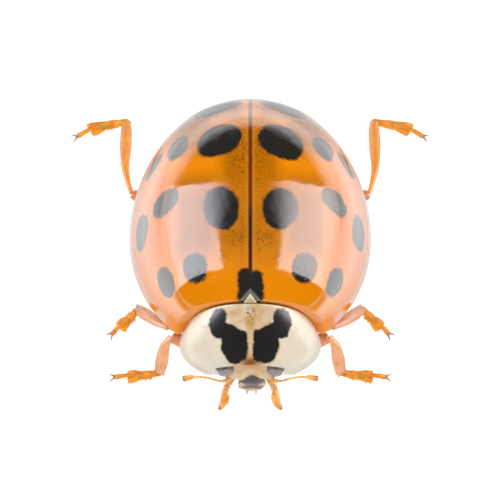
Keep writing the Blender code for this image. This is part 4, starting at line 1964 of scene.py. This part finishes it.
@dataclass(frozen=True)
class Studio:
    """A white floor lit from below as well, soft panels on both sides, and a long lens from above."""

    floor_size: float = 1.2
    floor_glow: float = 0.85
    far_glow: float = 1.06
    floor_fade: tuple[float, float] = (25.0, 60.0)
    skirt_strength: float = 2.7
    skirt_lift: float = 0.01
    elevation: float = 70.0
    lens: float = 900.0
    view_width: float = 12.085
    aim: tuple[float, float] = (-0.007, -0.29)
    sky: float = 0.012
    arch_radius: float = 60.0
    arch_front: float = -23.0
    arch_back: float = 36.0
    arch_strength: float = 5.2
    low_strength: float = 3.4
    cap_strength: float = 3.3
    bank_strength: float = 1.6
    rear_strength: float = 1.7
    far_strength: float = 1.4
    wall_radius: float = 560.0
    sensor: float = 36.0

    def floor(self) -> None:
        """Adds the floor."""
        mesh = bmesh.new()
        bmesh.ops.create_grid(mesh, x_segments=1, y_segments=1, size=self.floor_size / 2)
        data = bpy.data.meshes.new("floor")
        mesh.to_mesh(data)
        mesh.free()
        graph = Graph("white_floor")
        # Matt paper lit from below: it gives the eye plain white with soft shadows, and white alone far off.
        away = graph.add(Node.RAMP, graph.add(Node.LENGTH, graph.place), *self.floor_fade)
        gain = graph.add(Node.MULTIPLY, away, self.far_glow - self.floor_glow)
        glow = graph.add(Node.ADD, gain, self.floor_glow)
        graph.set(Base_Color="#B4B4B4", Roughness=0.8, Emission_Color="#FFFFFF", Emission_Strength=glow)
        data.materials.append(graph.material)
        made = bpy.data.objects.new("floor", data)
        bpy.context.scene.collection.objects.link(made)

    def arch(self, side: Side, low: float, high: float) -> SheetShape:
        """A sheet bent over one side of the animal, between two angles above the floor.

        Args:
            side: Which side it stands on.
            low: Where it begins, in degrees.
            high: Where it ends.

        Returns:
            The function of the shares of its width and height.
        """

        def shape(across: float, along: float) -> Vector:
            """The point at the given shares of its width and height.

            Args:
                across: The share of its width.
                along: The share of its height.

            Returns:
                The point.
            """
            angle = math.radians(mix(low, high, along))
            x, z = self.arch_radius * math.cos(angle), self.arch_radius * math.sin(angle)
            return Vector((side.value * x, mix(self.arch_front, self.arch_back, across), z))

        return shape

    def ring(self, radius: float, middle: float, spread: float, low: float, high: float) -> SheetShape:
        """A sheet standing round the animal.

        Args:
            radius: Its distance in millimetres.
            middle: The way it faces, in degrees from the head's side.
            spread: Half the angle that it covers.
            low: Where it begins, in degrees above the floor.
            high: Where it ends.

        Returns:
            The function of the shares of its width and height.
        """

        def shape(across: float, along: float) -> Vector:
            """The point at the given shares of its width and height.

            Args:
                across: The share of its width.
                along: The share of its height.

            Returns:
                The point.
            """
            turn = math.radians(middle + spread * (2 * across - 1))
            rise = math.radians(mix(low, high, along))
            flat = radius * math.cos(rise)
            return Vector((flat * math.sin(turn), -flat * math.cos(turn), radius * math.sin(rise)))

        return shape

    def skirt(self, across: float, along: float) -> Vector:
        """A sheet lying just over the floor, by the shares of its width and length; finest in the middle.

        Args:
            across: The share of its width.
            along: The share of its length.

        Returns:
            The point.
        """
        share = 2 * across - 1
        y = mix(self.arch_front, self.arch_radius, along)
        return Vector((self.arch_radius * share * abs(share), y, self.skirt_lift))

    def skirt_glow(self, co: Vector) -> float:
        """Dim about the feet, dark before the head, brighter to the sides and behind.

        Args:
            co: A place in the body frame.

        Returns:
            The share of its full strength.
        """
        sides = smoothstep(3.2, 7.5, abs(co.x)) * smoothstep(20.0, 1.0, co.y)
        behind = 0.12 * smoothstep(4.5, 7.0, co.y) + 0.55 * smoothstep(8.0, 15.0, co.y)
        glow = mix(self.floor_glow / self.skirt_strength, 1.0, max(sides, behind))
        turn = math.degrees(math.atan2(max(0.0, abs(co.x) - 1.8), -co.y - 2.2))
        away = math.hypot(co.x, co.y)
        return glow * mix(0.1, 1.0, max(smoothstep(70.0, 76.0, turn), smoothstep(14.5, 9.5, away)))

    @staticmethod
    def rise(co: Vector) -> float:
        """The angle of a place above the floor, seen from the animal, in degrees."""
        return math.degrees(math.atan2(co.z, math.hypot(co.x, co.y)))

    @staticmethod
    def even(_: Vector) -> float:
        """The same everywhere."""
        return 1.0

    @staticmethod
    def arch_glow(co: Vector) -> float:
        """Brightest low down; ends sharply in front and softly, further up, behind.

        Args:
            co: A place in the body frame.

        Returns:
            The share of its full strength.
        """
        angle = math.degrees(math.atan2(co.z, abs(co.x)))
        behind = smoothstep(-6.0, 20.0, co.y)
        end = 1.0 - smoothstep(mix(60.0, 46.0, behind), mix(63.0, 76.0, behind), angle)
        body = mix(0.8, 1.0, smoothstep(4.0, 20.0, angle)) - 0.15 * smoothstep(30.0, 60.0, angle)
        fold = 1.0 - 0.12 * bell(angle - 36.0, 0.8) * (co.x > 0)
        return end * body * fold * (1.0 - 0.07 * smoothstep(10.0, 30.0, co.y))

    def bank_glow(self, co: Vector) -> float:
        """A patch with soft edges."""
        rise, turn = self.rise(co), math.degrees(math.atan2(abs(co.x), abs(co.y)))
        return smoothstep(4.0, 12.0, rise) * smoothstep(38.0, 24.0, rise) * smoothstep(56.0, 34.0, turn)

    def lights(self) -> None:
        """Adds an arch at either side for the gloss, a soft bank before and behind, and a low wall."""
        near, far = self.arch_radius, self.wall_radius
        for side, tint, split in ((Side.LEFT, "#FFF6F4", 7.0), (Side.RIGHT, "#F4F6FF", 9.5)):
            upper, lower = self.arch(side, split, 76.0), self.arch(side, 0.0, split)
            Panel(f"upper_arch_{side.label}", self.arch_strength, tint, upper, self.arch_glow,
                  soft=False).build()
            Panel(f"lower_arch_{side.label}", self.low_strength, "#FFF4EE", lower, self.even,
                  soft=False).build()
        Panel("skirt", self.skirt_strength, "#FFFFFF", self.skirt, self.skirt_glow, soft=False).build()
        for middle in (0.0, 180.0):
            shape = self.ring(near, middle, 56.0, 4.0, 38.0)
            Panel(f"bank_{middle:.0f}", self.bank_strength, "#FFFDFA", shape, self.bank_glow,
                  mirrored=False).build()
        Panel("cap", self.cap_strength, "#FFFDFA", self.ring(near, 0.0, 180.0, 56.0, 90.0),
              lambda co: smoothstep(56.0, 66.0, self.rise(co)), mirrored=False).build()
        Panel("rear_wall", self.rear_strength, "#FFFFFF", self.ring(2 * near, 180.0, 80.0, 0.0, 15.0),
              lambda co: smoothstep(14.0, 2.0, self.rise(co)), soft=False).build()
        Panel("far_wall", self.far_strength, "#FFFFFF", self.ring(far, 0.0, 180.0, 0.0, 15.0),
              lambda co: smoothstep(15.0, 6.0, self.rise(co)), True, soft=False, mirrored=False).build()
        world = bpy.data.worlds.new("surroundings")
        world.use_nodes = True
        backdrop = world.node_tree.nodes["Background"]
        backdrop.inputs["Color"].default_value = (1.0, 1.0, 1.0, 1.0)
        backdrop.inputs["Strength"].default_value = self.sky
        bpy.context.scene.world = world

    def camera(self) -> None:
        """Places the camera."""
        tilt = math.radians(self.elevation)
        towards = Vector((0.0, -math.cos(tilt), math.sin(tilt)))
        upwards = Vector((0.0, math.sin(tilt), math.cos(tilt)))
        data = bpy.data.cameras.new("camera")
        data.lens = self.lens
        data.sensor_width = self.sensor
        data.clip_start = 0.001
        data.clip_end = 10.0
        distance = self.view_width / 2 / math.tan(math.atan(self.sensor / 2 / self.lens))
        target = Vector((self.aim[0], 0.0, 0.0)) + upwards * self.aim[1]
        made = bpy.data.objects.new("camera", data)
        made.matrix_world = (
            Matrix.Translation(TO_FRAME @ (target + towards * distance))
            @ Matrix.Rotation(RIGHT_ANGLE - tilt, 4, "X")
        )
        bpy.context.scene.collection.objects.link(made)
        bpy.context.scene.camera = made

    def build(self) -> None:
        """Adds all of it and sets how brightness is shown."""
        self.floor()
        self.lights()
        self.camera()
        settings = bpy.context.scene.view_settings
        settings.view_transform = "Standard"
        settings.look = "None"
        settings.exposure = 0.0
        settings.gamma = 1.0


# --- the whole animal -----------------------------------------------------------------------------


class Cuticles:
    """The finishes of the animal, each made once."""

    def __init__(self) -> None:
        """Makes them."""
        glassy, bare = Gloss(), Gloss(coat=0.2)
        satin = Gloss(roughness=0.38, coat=0.55, coat_roughness=0.16, scatter=0.35, scatter_depth=0.12)
        milky = Gloss(roughness=0.4, coat=0.5, coat_roughness=0.2, scatter=0.2, scatter_depth=0.2)
        downy = Gloss(roughness=0.45, specular=0.3, coat=0.12, coat_roughness=0.2, scatter=0.3,
                      scatter_depth=0.1)
        self.elytra = ElytraFinish().make()
        self.pronotum = PronotumFinish().make()
        self.eye = EyeFinish().make()
        # Straw-coloured cuticle: a small pale triangle between the bases of the wing cases.
        self.scutellum = PlainFinish("scutellum_cuticle", "#E0D2A2", "#CDB98A", 6.0, "#8E7A3A",
                                     gloss=glassy).make()
        # Cream cuticle, thin and milky, with an orange cloud on the crown.
        self.head = PlainFinish("head_cuticle", "#E6CCA6", "#DCBC90", 3.0, "#DE8630", gloss=milky).make()
        # Near-black plates that take only soft lights, brown towards the outer edge.
        self.belly = PlainFinish("belly_cuticle", "#1B1310", "#2C1A12", 2.0, "#9A5220", gloss=glassy).make()
        # Smoke-grey cuticle with brown corners: a hard, polished upper lip.
        self.lip = PlainFinish("labrum_cuticle", "#6C6A6B", "#565354", 3.0, "#A87850", gloss=glassy).make()
        # Pinkish jaws with brown edges.
        self.mouth = PlainFinish("mouth_cuticle", "#DCC2B2", "#C6A799", 6.0, "#7A5444", gloss=glassy).make()
        # Ochre cuticle: hind shins with a silky light, glowing a little where they are thin.
        self.shin = PlainFinish("limb_cuticle", "#F5A542", "#EA9635", 3.0, "#6A4436", gloss=satin).make()
        # Paler yellow: fine feelers that light shines through.
        self.feeler = PlainFinish("feeler_cuticle", "#FFC460", "#F0A644", 6.0, "#6A4436", gloss=satin).make()
        # Yellow clouded with orange: the jaw's palps.
        self.palp = PlainFinish("palp_cuticle", "#FFC468", "#EC8C28", 5.0, "#6A4436", gloss=satin).make()
        # Pinkish orange, browner at the knee: fleshier thighs.
        self.thigh = PlainFinish("thigh_cuticle", "#F9B482", "#EFA672", 3.0, "#C87428", gloss=satin).make()
        # Amber cuticle under fine down: feet with hardly any shine.
        self.foot = PlainFinish("foot_cuticle", "#F9A61E", "#DE8408", 5.0, "#6A4436", gloss=downy).make()
        # Brown horn: small polished hooks.
        self.claw = PlainFinish("claw_horn", "#B89284", "#96685A", 8.0, gloss=glassy).make()
        # Golden hairs: a light fuzz along the limbs.
        self.hair = PlainFinish("pale_hairs", "#D8A060", "#C88A48", 4.0, gloss=bare).make()
        # Brown hairs: a dark fringe before the mouth.
        self.dark_hair = PlainFinish("dark_hairs", "#6A4A3A", "#54382C", 4.0, gloss=bare).make()


@dataclass
class Ladybird:
    """Builds every piece and dresses it."""

    dresser: Dresser = field(default_factory=Dresser)
    skins: Cuticles = field(default_factory=Cuticles)
    head: Head = Head()
    breast: Organ = Organ((0.0, -2.79, 0.08), (1.0, 0.50, 0.38), 2.7)

    def build(self) -> None:
        """Adds every piece."""
        self.middle()
        self.sides()

    def middle(self) -> None:
        """Adds the wing cases, the shields, the underside and the head."""
        add, skins = self.dresser.add, self.skins
        for side in Side:
            shell = Elytron(side).mesh()
            add(f"{side.label}_wing_case", shell, skins.elytra, Slot.SHELL, [f"elytron_{side.label}"])
        add("scutellar_plate", Scutellum().mesh(), skins.scutellum, Slot.CREAM, ["scutellum"])
        add("shield", Pronotum().mesh(), skins.pronotum, Slot.CREAM, ["pronotum"])
        add("underside", Trunk().mesh(), skins.belly, Slot.BLACK, ["thorax", "abdomen"])
        add("breast_plate", self.breast.mesh(Side.LEFT, 96, 64), skins.belly, Slot.BLACK, ["prosternum"])
        add("skull", self.head.skull(), skins.head, Slot.CREAM, ["head"])
        add("upper_lip", self.head.labrum(), skins.lip, Slot.BLACK, ["labrum"])
        add("jaws", self.head.mouth(), skins.mouth, Slot.MOUTH, ["mouthparts"])
        add("lip_fringe", self.head.fringe(), skins.dark_hair, Slot.MOUTH)

    def sides(self) -> None:
        """Adds the eyes, feelers, palps and legs, and the hairs on them."""
        add, skins, hairs = self.dresser.add, self.skins, Hairs(seed=5)
        for side in Side:
            feeler, palp = Antenna(side), Palp(side)
            eyeball = self.head.eyeball(side)
            add(f"{side.label}_eyeball", eyeball, skins.eye, Slot.EYE, [f"eye_{side.label}"])
            add(f"{side.label}_feeler", feeler.mesh(), skins.feeler, Slot.LIMB, [f"antenna_{side.label}"])
            add(f"{side.label}_jaw_palp", palp.mesh(), skins.palp, Slot.LIMB, [f"palp_{side.label}"])
            for part in feeler.parts()[len(feeler.joints):]:
                hairs.cover(part, 16, (0.2, 0.95), FULL_TURN, (0.03, 0.05), 0.9)
            for part in palp.parts():
                hairs.cover(part, 26, (0.1, 0.95), FULL_TURN, (0.03, 0.055), 0.9)
            for plan in LEGS:
                leg = Leg(plan, side)
                skin = skins.shin if plan.name == "hind" else skins.thigh
                foot = join(part.mesh() for part in leg.foot())
                add(f"thigh_{leg.name}", leg.upper(), skins.thigh, Slot.LIMB, [f"femur_{leg.name}"])
                add(f"shin_{leg.name}", leg.shin().mesh(), skin, Slot.LIMB, [f"tibia_{leg.name}"])
                add(f"foot_{leg.name}", foot, skins.foot, Slot.LIMB, [f"tarsus_{leg.name}"])
                add(f"claws_{leg.name}", leg.claws(), skins.claw, Slot.LIMB)
                leg.bristles(hairs)
        add("limb_hairs", hairs.mesh(), skins.hair, Slot.LIMB)


def main() -> None:
    """Builds the animal over its solids, then the studio."""
    logging.basicConfig(level=logging.INFO, format="%(message)s")
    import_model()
    Ladybird().build()
    Studio().build()


if __name__ == "__main__":
    main()
